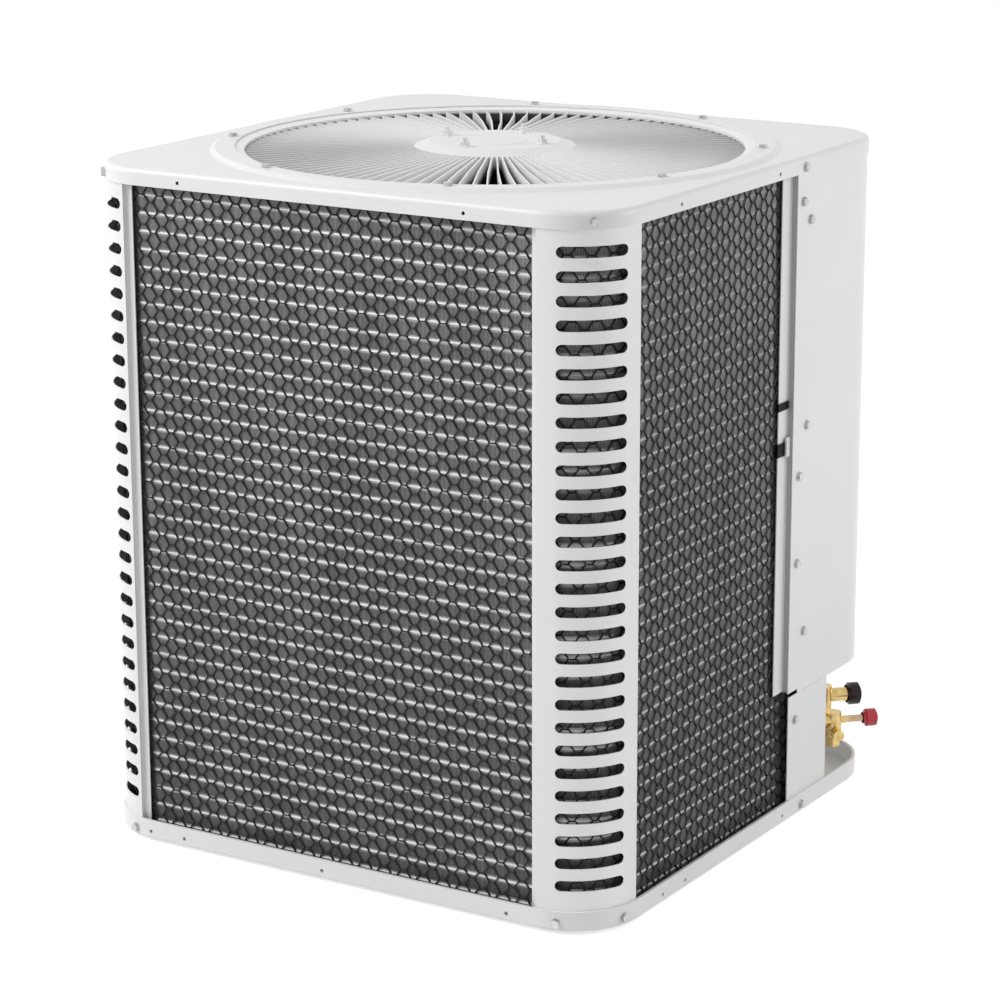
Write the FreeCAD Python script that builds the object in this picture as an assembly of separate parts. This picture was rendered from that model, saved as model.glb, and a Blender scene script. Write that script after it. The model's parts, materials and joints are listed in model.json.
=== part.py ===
import FreeCAD, Part
import math
import os

# Outdoor condensing unit: a square sheet-metal cabinet with a coil round its sides,
# an upward fan under a radial guard, and service valves at one lower corner.
# Millimetres, +Z up. The origin is on the floor, under the fan axis.
# The service corner is at +X +Y. The left, front and back corners carry slotted posts.

# Cabinet
cabinet_side = 635.0
corner_radius = 75.0
roof_height = 737.0
skirt_height = 18.0
roof_bend = 6.0
sheet = 1.2
lap_gap = 0.3

# Base pan
foot_height = 4.0
rim_height = 25.0
rim_hem = 3.2
pan_bend = 3.0
foot_length = 60.0
foot_width = 36.0
foot_spacing_x = 300.0
foot_spacing_y = 560.0
anchor_hole_radius = 5.5
drain_length = 30.0
drain_width = 8.0
pad_size = 30.0
pad_offset = 90.0
grommet_lip = 3.0
drain_places = [(0.0, -225.0), (-225.0, 0.0), (225.0, -60.0), (-60.0, 225.0)]
rim_hole_radius = 2.2
rim_hole_places = [(0, -243.0), (0, -198.0), (0, -18.0), (0, 209.0), (1, -191.0), (1, -143.0), (1, 79.0)]

# Corner posts
post_flat = 1.0
left_post_edge = 258.0
joggle = 7.0
strip_width = 8.0
slot_pitch = 23.9
slot_height = 11.5
slot_length = 75.0
lowest_slot = 51.5
slot_head_room = 32.0

# Coil and its net
coil_bottom = 12.0
coil_head_room = 15.0
tube_pitch = 19.05
tube_radius = 4.76
coil_depth = 22.0
coil_end = 150.0
end_plate_lip = 4.0
net_thickness = 1.0
net_lap = 6.0
bend_lead = 3.0
fin_groove_spacing = 48.0
fin_groove_width = 3.0
fin_groove_depth = 6.0

# Service corner
service_strip_near = 71.5
service_wall = 91.5
service_flange = 50.0
service_low = 150.0
cover_low = 143.5
cover_notch_length = 23.0
cover_notch_height = 4.5
panel_near = 95.0
recess_edge = 188.5
line_hole_clearance = 1.0
strap_places = [(424.8, 14.4), (472.0, 8.4)]
strap_thickness = 1.5
strap_overhang = 4.0
clip_low = 416.0
clip_top = 437.0
clip_width = 8.0
clip_thickness = 2.0

# Control box, with the sides and heights of what stands on its plate
control_clearance = 9.0
control_head_room = 37.0
contactor_side = -30.0
contactor_low = 420.0
contactor_width = 46.0
contactor_tall = 66.0
contactor_depth = 34.0
plunger_rise = 20.0
plunger_width = 12.0
plunger_tall = 20.0
plunger_length = 15.0
plunger_seat = 24.0
plunger_slip = 0.3
plunger_pocket_floor = 20.0
capacitor_side = 36.0
capacitor_low = 330.0
capacitor_tall = 90.0
capacitor_radius = 20.0
capacitor_edge = 2.0
capacitor_strap_rise = 36.0
capacitor_strap_width = 14.0
capacitor_strap_wall = 2.0
terminal_low = 200.0
terminal_width = 80.0
terminal_tall = 26.0
terminal_depth = 18.0
terminal_floor = 10.0
terminal_pocket_width = 12.0
terminal_pocket_tall = 18.0
terminal_pocket_sides = [-30.0, -10.0, 10.0, 30.0]

# Top plateau and fan guard
plateau_margin = 13.0
plateau_height = 4.0
plateau_slope = 6.0
plateau_land = 27.0
guard_wall = 2.0
guard_inset = 10.2
guard_flange_lap = 15.5
guard_depth = 14.0
vane_count = 108
vane_thickness = 1.5
vane_bow = 1.3
vane_hook = 2.4
vane_hook_length = 18.0
vane_hub_rise = 2.0
vane_end_drop = 2.0
hub_radius = 70.0
hub_foot_radius = 86.5
hub_drop = 5.5
hub_sheet = 1.5
hub_rise = 6.5
hub_ring_radius = 34.0
hub_ring_slope = 2.0
hub_ring_flat = 4.0
hub_ring_depth = 0.8
stiffener_radius = 160.0

# Fan and motor
motor_radius = 65.0
motor_height = 90.0
motor_edge = 8.0
bearing_boss_radius = 18.0
bearing_boss_height = 10.0
shaft_radius = 6.35
shaft_reach = 62.0
shaft_hold = 63.0
shaft_end_gap = 1.0
running_clearance = 0.05
tip_clearance = 8.0
fan_boss_radius = 20.0
fan_boss_height = 34.0
fan_boss_drop = 6.0
set_screw_radius = 3.0
set_screw_rise = 8.0
set_screw_sunk = 1.0
spider_radius = 62.0
spider_thickness = 3.0
blade_count = 4
blade_thickness = 2.0
blade_pitch = 27.0
blade_root_lead = 6.0
blade_root_chord = 47.5
blade_neck_reach = 30.0
blade_neck_chord = 95.0
blade_waist = 0.75
blade_waist_chord = 152.0
blade_tip_chord = 190.0
blade_overrun = 20.0
blade_camber = 9.0
blade_arm_inset = 14.0
blade_arm_reach = 24.0
blade_arm_width = 36.0
blade_arm_thickness = 2.5
orifice_step = 15.5
orifice_height = 100.0
orifice_flare = 10.0
stud_circle_radius = 59.0
stud_radius = 3.0
stud_proud = 9.5
nut_flange_radius = 7.0
nut_flange_height = 1.2
nut_flats = 10.0
nut_height = 5.5

# Compressor and lines
compressor_x = -30.0
compressor_y = -30.0
compressor_radius = 64.0
compressor_height = 300.0
compressor_dome = 26.0
grommet_radius = 13.0
grommet_height = 16.0
foot_bolt_radius = 4.0
foot_bolt_hole = 4.2
foot_bolt_flats = 13.0
foot_bolt_head = 5.5
compressor_foot_circle = 92.0
foot_plate_thickness = 2.5
foot_plate_width = 36.0
terminal_cover_reach = 16.0
terminal_cover_width = 48.0
terminal_cover_tall = 56.0
terminal_cover_rise = 165.0
accumulator_radius = 32.0
accumulator_height = 180.0
accumulator_low = 60.0
accumulator_dome = 10.0
band_rise = 108.0
band_width = 16.0
band_thickness = 1.5
suction_line_radius = 7.94
suction_line_bend = 22.0
suction_riser_inset = 35.0
suction_line_rise = 60.0
discharge_line_bend = 16.0
discharge_rise = 85.0
discharge_riser_lead = 30.0
discharge_riser_inset = 36.0
liquid_line_bend = 14.0
liquid_line_rise = 35.0
liquid_riser_inset = 45.0
drier_radius = 16.0
drier_cone = 8.0
drier_height = 100.0
drier_rise = 50.0
drier_x = 160.0
drier_y = 190.0

# Service valves, with distances measured from the fan axis along the service diagonal
valve_spread = 25.0
suction_axis_height = 80.0
suction_valve_distance = 391.0
suction_stub_end = 434.0
suction_boss_radius = 12.0
suction_barrel_drop = 0.0
suction_port_drop = 0.0
suction_stub_wall = 1.2
suction_cap_wall = 3.4
suction_cap_grip = 16.6
liquid_axis_height = 67.0
liquid_valve_distance = 388.0
liquid_stub_end = 436.8
liquid_stub_radius = 3.9
liquid_boss_radius = 10.0
liquid_barrel_drop = 8.0
liquid_port_drop = 11.5
liquid_stub_wall = 0.8
liquid_cap_wall = 3.8
liquid_cap_grip = 16.5
barrel_inset = 1.0
stem_reach = 6.5
port_radius = 4.0
port_reach = 6.0
cap_end = 3.0
stem_cap_length = 11.2
suction_stem_cap_flats = 22.0
liquid_stem_cap_flats = 16.0
suction_port_cap_radius = 6.2
suction_port_cap_length = 12.0
liquid_port_cap_radius = 6.2
liquid_port_cap_length = 13.0

# Screws
screw_radius = 2.0
screw_head_radius = 4.2
screw_washer_radius = 5.2
screw_washer_height = 0.8
screw_head_height = 3.6
screw_length = 6.0
hole_clearance = 0.2
skirt_screw_rise = 6.8
skirt_hole_radius = 2.0
skirt_hole_places = [(0, -184.5), (0, 160.7), (1, -163.6), (1, 48.4)]
rim_screw_height = 12.5
rim_screw_lean = 28.0
rim_screw_side_place = 124.0
guard_screw_inset = 9.5
upper_screw_places = [(13.5, 48.3), (30.5, 69.5)]
lower_screw_places = [(31.5, 443.7), (15.0, 390.3), (14.0, 293.1), (34.0, 211.9)]
panel_screw_place = (111.0, 114.0)

# Planes and levels that follow from the sizes above
half = cabinet_side / 2
corner_centre = half - corner_radius
skirt_inside = half - sheet
face = skirt_inside - lap_gap
face_back = face - sheet
pan_half = skirt_inside + rim_hem
strip_face = face - joggle
strip_back = strip_face - sheet
net_face = strip_back - lap_gap
net_back = net_face - net_thickness
coil_face = net_back - lap_gap
coil_back = coil_face - coil_depth
coil_line = coil_face - coil_depth / 2
tube_rows = int((roof_height - sheet - coil_head_room - coil_bottom) / tube_pitch)
coil_top = coil_bottom + tube_rows * tube_pitch
floor_top = foot_height + sheet
roof_under = roof_height - sheet
skirt_bottom = roof_height - skirt_height
post_bottom = floor_top + lap_gap
post_top = roof_height - roof_bend - lap_gap
slot_count = int((post_top - slot_head_room - lowest_slot) / slot_pitch) + 1
post_edge = corner_centre - post_flat
cover_edge = service_wall + sheet + lap_gap
plateau_radius = half - plateau_margin
opening_radius = plateau_radius - plateau_land
guard_inner_radius = opening_radius - guard_inset
guard_flange_radius = opening_radius + guard_flange_lap
vane_hook_radius = guard_inner_radius - vane_hook_length
vane_bow_radius = (hub_foot_radius + guard_inner_radius) / 2
orifice_radius = opening_radius - orifice_step
fan_radius = orifice_radius - tip_clearance
plateau_top = roof_height + plateau_height
hub_top = roof_height + hub_rise
hub_foot = hub_top - hub_drop
vane_hub_top = roof_height + vane_hub_rise
vane_end_top = roof_height - vane_end_drop
guard_bottom = vane_end_top - guard_depth
motor_top = guard_bottom - lap_gap
motor_bottom = motor_top - motor_height
shaft_bottom = motor_bottom - bearing_boss_height - shaft_reach
fan_boss_top = motor_bottom - bearing_boss_height - fan_boss_drop
fan_boss_bottom = fan_boss_top - fan_boss_height
spider_level = fan_boss_bottom + fan_boss_height / 2
orifice_top = guard_bottom - lap_gap
diagonal = math.sqrt(0.5)
valve_plate_distance = (face + recess_edge) * diagonal
tube_start = coil_end + 2 * lap_gap + sheet
bends_end = tube_start + bend_lead + tube_pitch / 2 + tube_radius
control_plate_distance = (coil_line + bends_end) * diagonal + control_clearance
control_box_top = roof_height - control_head_room
capacitor_stand = capacitor_radius + capacitor_strap_wall

UP = FreeCAD.Vector(0, 0, 1)
OUTWARD = FreeCAD.Vector(diagonal, diagonal, 0)
SIDEWAYS = FreeCAD.Vector(-diagonal, diagonal, 0)
CENTRE = FreeCAD.Vector(0, 0, 0)
FRONT_OUT = FreeCAD.Vector(0, -1, 0)
RIGHT_OUT = FreeCAD.Vector(1, 0, 0)


def vec(x, y, z):
    return FreeCAD.Vector(x, y, z)


def at_service_corner(distance, side, height):
    """A point by its distance along the service diagonal, its offset across it and its height."""
    return OUTWARD * distance + SIDEWAYS * side + UP * height


def box(low_x, low_y, low_z, high_x, high_y, high_z):
    return Part.makeBox(high_x - low_x, high_y - low_y, high_z - low_z, vec(low_x, low_y, low_z))


def cylinder(radius, start, direction, length):
    return Part.makeCylinder(radius, length, start, direction)


def tube(radius, bore, start, direction, length):
    return cylinder(radius, start, direction, length).cut(cylinder(bore, start, direction, length))


def hexagon(across_flats, start, direction, length):
    """A six-sided prism along a direction."""
    radius = across_flats / math.sqrt(3)
    corners = []
    for turn in range(7):
        angle = math.radians(60 * turn)
        corners.append(vec(radius * math.cos(angle), radius * math.sin(angle), 0))
    prism = Part.Face(Part.makePolygon(corners)).extrude(UP * length)
    prism.Placement = FreeCAD.Placement(start, FreeCAD.Rotation(UP, direction))
    return prism


def revolved(points):
    """A solid of revolution about the fan axis from (radius, height) points."""
    corners = [vec(radius, 0, height) for radius, height in points]
    profile = Part.Face(Part.makePolygon(corners + corners[:1]))
    return profile.revolve(CENTRE, UP, 360)


def rounded_block(side_offset, low, high):
    """A block centred on the fan axis, whose corners share the cabinet's corner centres."""
    block = box(-side_offset, -side_offset, low, side_offset, side_offset, high)
    upright = [e for e in block.Edges if abs(e.Vertexes[0].Z - e.Vertexes[1].Z) > lap_gap]
    return block.makeFillet(side_offset - corner_centre, upright)


def rounded_wall(outer, inner, low, high):
    return rounded_block(outer, low, high).cut(rounded_block(inner, low, high))


def loop_edges(shape, height):
    """The edges that lie flat at one height."""
    return [e for e in shape.Edges if abs(e.BoundBox.ZMin - height) + abs(e.BoundBox.ZMax - height) < 0.001]


def fused(pieces):
    whole = pieces[0]
    if len(pieces) > 1:
        whole = whole.multiFuse(pieces[1:])
    return whole.removeSplitter()


def turned(shape, angle):
    copy = shape.copy()
    copy.rotate(CENTRE, UP, angle)
    return copy


def mirrored(shape):
    """The same piece on the other side of the service diagonal."""
    return shape.mirror(CENTRE, FreeCAD.Vector(1, -1, 0))


def obround(length, width, low, high, x, y):
    """An upright slot cutter or pad, long in X."""
    straight = (length - width) / 2
    middle = box(x - straight, y - width / 2, low, x + straight, y + width / 2, high)
    ends = [cylinder(width / 2, vec(x + s * straight, y, low), UP, high - low) for s in (-1, 1)]
    return fused([middle] + ends)


def path_with_bends(points, bend):
    """A wire of straight runs joined by tangent arcs."""
    edges = []
    start = points[0]
    for before, corner, after in zip(points, points[1:], points[2:]):
        into = (corner - before).normalize()
        onward = (after - corner).normalize()
        half_turn = into.getAngle(onward) / 2
        setback = bend * math.tan(half_turn)
        inward = (onward - into).normalize()
        middle = corner + inward * (bend / math.cos(half_turn) - bend)
        first = corner - into * setback
        last = corner + onward * setback
        edges.append(Part.makeLine(start, first))
        edges.append(Part.Arc(first, middle, last).toShape())
        start = last
    edges.append(Part.makeLine(start, points[-1]))
    return Part.Wire(edges)


def bent_rod(points, radius, bend):
    """A round rod or closed pipe along a bent path."""
    path = path_with_bends(points, bend)
    profile = Part.Wire(Part.makeCircle(radius, points[0], points[1] - points[0]))
    return path.makePipeShell([profile], True, False)


def screw(seat, direction):
    """A hex-head sheet screw whose washer face sits at the seat and whose head points along direction."""
    washer = cylinder(screw_washer_radius, seat, direction, screw_washer_height)
    head = hexagon(2 * screw_head_radius, seat, direction, screw_head_height)
    shank = cylinder(screw_radius, seat, direction * -1, screw_length)
    return fused([washer, head, shank])


def screw_holes(seats, depth):
    """Clearance holes for screws, reaching both ways from their seats."""
    radius = screw_radius + hole_clearance
    return Part.makeCompound([cylinder(radius, point - out * depth, out, 2 * depth) for point, out in seats])


def side_seat(side, offset, height, reach):
    """A seat on a flat side, as point and outward direction. Sides 0 to 3: front, right, back, left."""
    rotation = FreeCAD.Rotation(UP, 90 * side)
    return rotation.multVec(vec(offset, -reach, height)), rotation.multVec(FRONT_OUT)


def corner_seat(corner, lean, height, reach):
    """A screw seat on a rounded corner, leaning from its diagonal. Corners 0 to 2 are front, left, back."""
    rotation = FreeCAD.Rotation(UP, -90 * corner)
    angle = math.radians(lean - 45)
    out = vec(math.cos(angle), math.sin(angle), 0)
    point = vec(corner_centre, -corner_centre, height) + out * (reach - corner_centre)
    return rotation.multVec(point), rotation.multVec(out)


def guard_seats(radius, height):
    seats = []
    for step in range(8):
        angle = math.radians(22.5 + 45 * step)
        seats.append((vec(radius * math.cos(angle), radius * math.sin(angle), height), UP))
    return seats


def both_sides(places, reach):
    """Seats at the same places on the right side and, mirrored, on the back."""
    right = [side_seat(1, offset, height, reach) for offset, height in places]
    back = [side_seat(2, -offset, height, reach) for offset, height in places]
    return right, back


def side_holes(places, height, reach, radius, depth):
    """Round holes through the sheet of the sides, from (side, offset) places."""
    holes = []
    for side, offset in places:
        point, out = side_seat(side, offset, height, reach)
        holes.append(cylinder(radius, point - out * depth, out, 2 * depth))
    return Part.makeCompound(holes)


# Screw seats, shared by the screws and the holes that they pass through
guard_screw_seats = guard_seats(opening_radius + guard_screw_inset, plateau_top)
skirt_screw_level = skirt_bottom + skirt_screw_rise
skirt_screw_seats = [corner_seat(corner, 0, skirt_screw_level, half) for corner in range(3)]
rim_screw_seats = [corner_seat(corner, lean, rim_screw_height, pan_half)
                   for corner in range(3) for lean in (-rim_screw_lean, rim_screw_lean)]
cover_screw_places = [(cover_edge + inset, roof_height - drop) for inset, drop in upper_screw_places]
cover_screw_places += [(cover_edge + inset, height) for inset, height in lower_screw_places]
cover_seats_right, cover_seats_back = both_sides(cover_screw_places, face)
panel_seats_right, panel_seats_back = both_sides([panel_screw_place], face)
top_screw_place = (cover_edge + upper_screw_places[0][0], skirt_screw_level)
top_seats_right, top_seats_back = both_sides([top_screw_place], half)
panel_rim_seats_right, panel_rim_seats_back = both_sides([(rim_screw_side_place, rim_screw_height)], pan_half)


def make_base_pan():
    tray = rounded_block(pan_half, foot_height, rim_height)
    tray = tray.makeFillet(pan_bend, loop_edges(tray, foot_height))
    tray = tray.cut(rounded_block(skirt_inside, floor_top, rim_height + sheet))
    pressings = []
    hollows = []
    for x, y in foot_places():
        pressings.append(obround(foot_length, foot_width, 0, floor_top, x, y))
        hollows.append(obround(foot_length - 2 * sheet, foot_width - 2 * sheet, sheet, rim_height, x, y))
    pad_top = coil_bottom - lap_gap
    reach = pad_size / 2
    for x, y in coil_pads():
        pressings.append(box(x - reach, y - reach, foot_height, x + reach, y + reach, pad_top))
        hollows.append(box(x - reach + sheet, y - reach + sheet, 0, x + reach - sheet, y + reach - sheet,
                           pad_top - sheet))
    for x, y in compressor_feet():
        boss = grommet_radius + grommet_lip
        pressings.append(cylinder(boss, vec(x, y, foot_height), UP, coil_bottom - foot_height))
        hollows.append(cylinder(boss - sheet, vec(x, y, 0), UP, coil_bottom - sheet))
    pan = fused([tray] + pressings).cut(Part.makeCompound(hollows))
    holes = [cylinder(anchor_hole_radius, vec(x, y, 0), UP, rim_height) for x, y in foot_places()]
    holes += [obround(drain_length, drain_width, 0, rim_height, x, y) for x, y in drain_places]
    holes += [cylinder(foot_bolt_hole, vec(x, y, 0), UP, rim_height) for x, y in compressor_feet()]
    pan = pan.cut(Part.makeCompound(holes))
    pan = pan.cut(side_holes(rim_hole_places, rim_screw_height, pan_half, rim_hole_radius, 2 * rim_hem))
    seats = rim_screw_seats + panel_rim_seats_right + panel_rim_seats_back
    return pan.cut(screw_holes(seats, 2 * rim_hem))


def foot_places():
    return [(sx * foot_spacing_x / 2, sy * foot_spacing_y / 2) for sx in (-1, 1) for sy in (-1, 1)]


def compressor_feet():
    feet = []
    for turn in range(3):
        angle = math.radians(120 * turn - 45)
        x = compressor_x + compressor_foot_circle * math.cos(angle)
        y = compressor_y + compressor_foot_circle * math.sin(angle)
        feet.append((x, y))
    return feet


def coil_pads():
    """Raised pads of the pan under the coil, two along each of its four sides."""
    places = []
    for s in (-1, 1):
        places += [(s * pad_offset, -coil_line), (-coil_line, s * pad_offset)]
    return places + [(coil_line, -pad_offset), (-pad_offset, coil_line), (coil_line, 0.0), (0.0, coil_line)]


def make_top_cover():
    """The roof with its skirt, and the round plateau that stands above it."""
    block = rounded_block(half, skirt_bottom, roof_height)
    block = block.makeFillet(roof_bend, loop_edges(block, roof_height))
    inside = rounded_block(skirt_inside, skirt_bottom, roof_under)
    inside = inside.makeFillet(roof_bend - sheet, loop_edges(inside, roof_under))
    shell = block.cut(inside).cut(cylinder(plateau_radius, vec(0, 0, skirt_bottom), UP, skirt_height + sheet))
    plateau = revolved([(plateau_radius, roof_under), (plateau_radius + sheet, roof_under),
                        (plateau_radius + sheet, roof_height), (plateau_radius, roof_height),
                        (plateau_radius - plateau_slope, plateau_top), (opening_radius, plateau_top),
                        (opening_radius, plateau_top - sheet),
                        (plateau_radius - plateau_slope - sheet, plateau_top - sheet)])
    cover = fused([shell, plateau])
    cover = cover.cut(side_holes(skirt_hole_places, skirt_screw_level, half, skirt_hole_radius, 2 * sheet))
    seats = guard_screw_seats + skirt_screw_seats + top_seats_right + top_seats_back
    return cover.cut(screw_holes(seats, 2 * sheet))


def make_vane():
    """One upright vane, bowed along its length and hooked at its outer end, its top edge falling outwards."""
    inner = hub_foot_radius - guard_wall
    outer = guard_inner_radius + guard_wall / 2
    line = [(inner, 0.0), (vane_bow_radius, -vane_bow), (vane_hook_radius, 0.0), (outer, vane_hook)]
    side = vane_thickness / 2
    outline = [vec(r, y - side, 0) for r, y in line] + [vec(r, y + side, 0) for r, y in reversed(line)]
    vane = Part.Face(Part.makePolygon(outline + outline[:1])).extrude(UP * (vane_hub_top - guard_bottom))
    vane.translate(UP * guard_bottom)
    band_top = hub_foot - lap_gap
    clear_of_hub = hub_foot_radius + lap_gap
    margin = 5.0
    above = [vec(inner - margin, 0, band_top), vec(clear_of_hub, 0, band_top),
             vec(clear_of_hub, 0, vane_hub_top), vec(outer, 0, vane_end_top),
             vec(outer + margin, 0, vane_end_top),
             vec(outer + margin, 0, vane_hub_top + margin), vec(inner - margin, 0, vane_hub_top + margin)]
    trim = Part.Face(Part.makePolygon(above + above[:1])).extrude(vec(0, 4 * margin, 0))
    trim.translate(vec(0, -2 * margin, 0))
    return vane.cut(trim)


def stud_places():
    return [vec(stud_circle_radius, 0, 0), vec(0, stud_circle_radius, 0),
            vec(-stud_circle_radius, 0, 0), vec(0, -stud_circle_radius, 0)]


def make_fan_guard():
    """Radial vanes between a centre plate and a funnel that hangs under the plateau."""
    flange_top = plateau_top - sheet - lap_gap
    flange_under = flange_top - guard_wall
    wall_outside = guard_inner_radius + guard_wall
    funnel = revolved([(guard_inner_radius, guard_bottom), (wall_outside, guard_bottom),
                       (wall_outside, vane_end_top), (opening_radius + guard_wall, flange_under),
                       (guard_flange_radius, flange_under), (guard_flange_radius, flange_top),
                       (opening_radius, flange_top), (guard_inner_radius, vane_end_top + guard_wall)])
    band_inside = hub_foot_radius - guard_wall
    centre = revolved([(0, guard_bottom), (hub_foot_radius, guard_bottom),
                       (hub_foot_radius, hub_foot - lap_gap), (band_inside, hub_foot - lap_gap),
                       (band_inside, guard_bottom + guard_wall), (0, guard_bottom + guard_wall)])
    vane = make_vane()
    step = 360.0 / vane_count
    vanes = [turned(vane, step * number) for number in range(vane_count)]
    guard = funnel.multiFuse([centre] + vanes)
    cuts = [cylinder(stud_radius + hole_clearance, place + UP * guard_bottom, UP, guard_depth)
            for place in stud_places()]
    cuts.append(screw_holes(guard_screw_seats, screw_length))
    return guard.cut(Part.makeCompound(cuts))


def make_stiffener():
    """The thin ring that crosses under the vanes."""
    return tube(stiffener_radius + guard_wall, stiffener_radius - guard_wall,
                vec(0, 0, guard_bottom - lap_gap - guard_wall), UP, guard_wall)


def make_hub_cover():
    """The pressed disc over the guard's centre, with a sloping edge and one shallow ring."""
    ring_flat = hub_ring_radius + hub_ring_slope
    ring = [(hub_ring_radius, 0), (ring_flat, hub_ring_depth), (ring_flat + hub_ring_flat, hub_ring_depth),
            (ring_flat + hub_ring_flat + hub_ring_slope, 0)]
    over = [(0, hub_top)] + [(r, hub_top - drop) for r, drop in ring] + [(hub_radius, hub_top)]
    under = [(r, height - hub_sheet) for r, height in reversed(over)]
    cap = revolved(over + [(hub_foot_radius, hub_foot), (hub_foot_radius - 2 * hub_sheet, hub_foot)] + under)
    holes = [cylinder(stud_radius + hole_clearance, place + UP * guard_bottom, UP, 2 * guard_depth)
             for place in stud_places()]
    return cap.cut(Part.makeCompound(holes))


def make_motor_studs():
    length = hub_top + stud_proud - motor_top
    studs = [cylinder(stud_radius, place + UP * motor_top, UP, length) for place in stud_places()]
    return Part.makeCompound(studs)


def make_motor_nuts():
    """Flange nuts on the studs, over the hub cover."""
    nuts = []
    for place in stud_places():
        seat = place + UP * hub_top
        flange = cylinder(nut_flange_radius, seat, UP, nut_flange_height)
        nut = fused([flange, hexagon(nut_flats, seat, UP, nut_height)])
        nuts.append(nut.cut(cylinder(stud_radius, seat, UP, nut_height)))
    return Part.makeCompound(nuts)


def make_fan_motor():
    body = cylinder(motor_radius, vec(0, 0, motor_bottom), UP, motor_height)
    body = body.makeChamfer(motor_edge, loop_edges(body, motor_bottom))
    boss_foot = vec(0, 0, motor_bottom - bearing_boss_height)
    boss = cylinder(bearing_boss_radius, boss_foot, UP, bearing_boss_height + sheet)
    bore = cylinder(shaft_radius + running_clearance, boss_foot, UP, bearing_boss_height + shaft_hold)
    return fused([body, boss]).cut(bore)


def make_motor_shaft():
    top = motor_bottom + shaft_hold - shaft_end_gap
    return cylinder(shaft_radius, vec(0, 0, shaft_bottom), UP, top - shaft_bottom)


def make_fan_boss():
    """The boss on the shaft, with its threaded hole from the bore to the outside."""
    boss = tube(fan_boss_radius, shaft_radius, vec(0, 0, fan_boss_bottom), UP, fan_boss_height)
    hole_start = vec(0, 0, fan_boss_bottom + set_screw_rise)
    return boss.cut(cylinder(set_screw_radius, hole_start, RIGHT_OUT, 2 * fan_boss_radius))


def make_set_screw():
    tip = vec(shaft_radius, 0, fan_boss_bottom + set_screw_rise)
    length = fan_boss_radius - shaft_radius - set_screw_sunk
    return cylinder(set_screw_radius, tip, RIGHT_OUT, length)


def make_fan_spider():
    """The plate that carries the blades on the boss."""
    return tube(spider_radius, fan_boss_radius, vec(0, 0, spider_level), UP, spider_thickness)


def blade_section(radius, chord):
    """A thin cambered section of a blade, standing across the radius and pitched."""
    half_chord = chord / 2
    low = -blade_thickness / 2
    high = blade_thickness / 2
    under = Part.Arc(vec(0, -half_chord, low), vec(0, 0, low + blade_camber), vec(0, half_chord, low))
    over = Part.Arc(vec(0, half_chord, high), vec(0, 0, high + blade_camber), vec(0, -half_chord, high))
    sides = [Part.makeLine(vec(0, half_chord, low), vec(0, half_chord, high)),
             Part.makeLine(vec(0, -half_chord, high), vec(0, -half_chord, low))]
    wire = Part.Wire([under.toShape(), sides[0], over.toShape(), sides[1]])
    wire.rotate(CENTRE, RIGHT_OUT, blade_pitch)
    wire.translate(vec(radius, 0, 0))
    return wire


def make_fan_blades():
    """Pitched, widening blades that lie on the spider and end at the fan's radius."""
    sections = [blade_section(fan_boss_radius + blade_root_lead, blade_root_chord),
                blade_section(spider_radius + blade_neck_reach, blade_neck_chord),
                blade_section(fan_radius * blade_waist, blade_waist_chord),
                blade_section(fan_radius + blade_overrun, blade_tip_chord)]
    blade = Part.makeLoft(sections, True, True)
    lift = spider_level + spider_thickness + blade_thickness
    blade.translate(UP * lift)
    below = vec(0, 0, spider_level - blade_tip_chord)
    limit = cylinder(fan_radius, below, UP, 2 * blade_tip_chord)
    keep_out = cylinder(spider_radius + lap_gap, below, UP, 2 * blade_tip_chord)
    blade = blade.common(limit).cut(keep_out)
    arm_low = spider_level + spider_thickness
    arm = box(spider_radius - blade_arm_inset, -blade_arm_width / 2, arm_low,
              spider_radius + blade_arm_reach, blade_arm_width / 2, arm_low + blade_arm_thickness)
    blade = blade.fuse(arm)
    return Part.makeCompound([turned(blade, 360.0 * number / blade_count) for number in range(blade_count)])


def make_fan_orifice():
    """The ring round the blade tips, flared at its lower edge and flanged at its top."""
    top = orifice_top
    low = top - orifice_height
    flange = opening_radius
    return revolved([(orifice_radius, top), (flange, top), (flange, top - sheet),
                     (orifice_radius + sheet, top - sheet), (orifice_radius + sheet, low + orifice_flare),
                     (orifice_radius + orifice_flare + sheet, low), (orifice_radius + orifice_flare, low),
                     (orifice_radius, low + orifice_flare)])


def slot_cutters():
    """Obround prisms that look at the front corner along its diagonal."""
    arc_radius = face - corner_centre
    width = 2 * arc_radius * math.sin(slot_length / 2 / arc_radius)
    straight = (width - slot_height) / 2
    round_end = slot_height / 2
    cutters = []
    for row in range(slot_count):
        level = lowest_slot + row * slot_pitch
        corners = [vec(-straight, 0, level - round_end), vec(straight, 0, level - round_end),
                   vec(straight, 0, level + round_end), vec(-straight, 0, level + round_end)]
        right = Part.Arc(corners[1], vec(straight + round_end, 0, level), corners[2])
        left = Part.Arc(corners[3], vec(-straight - round_end, 0, level), corners[0])
        outline = Part.Wire([Part.makeLine(corners[0], corners[1]), right.toShape(),
                             Part.makeLine(corners[2], corners[3]), left.toShape()])
        cutters.append(Part.Face(outline).extrude(vec(0, -arc_radius, 0)))
    cutter = Part.makeCompound(cutters)
    cutter.translate(vec(0, -arc_radius / 2, 0))
    cutter.rotate(CENTRE, UP, 45)
    cutter.translate(vec(corner_centre, -corner_centre, 0))
    return cutter


def step_reach(edge):
    """How far out a post's step goes to end in the middle of its wall."""
    middle = face - sheet / 2 - corner_centre
    return corner_centre + math.sqrt(middle ** 2 - max(edge - corner_centre, 0.0) ** 2)


def joggled_edge(edge):
    """The step and the net's strip along the edge of a post on the front side."""
    step = box(edge, -step_reach(edge), post_bottom, edge + sheet, -strip_back, post_top)
    strip = box(edge - strip_width, -strip_face, post_bottom, edge + sheet, -strip_back, post_top)
    return [step, strip]


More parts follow.
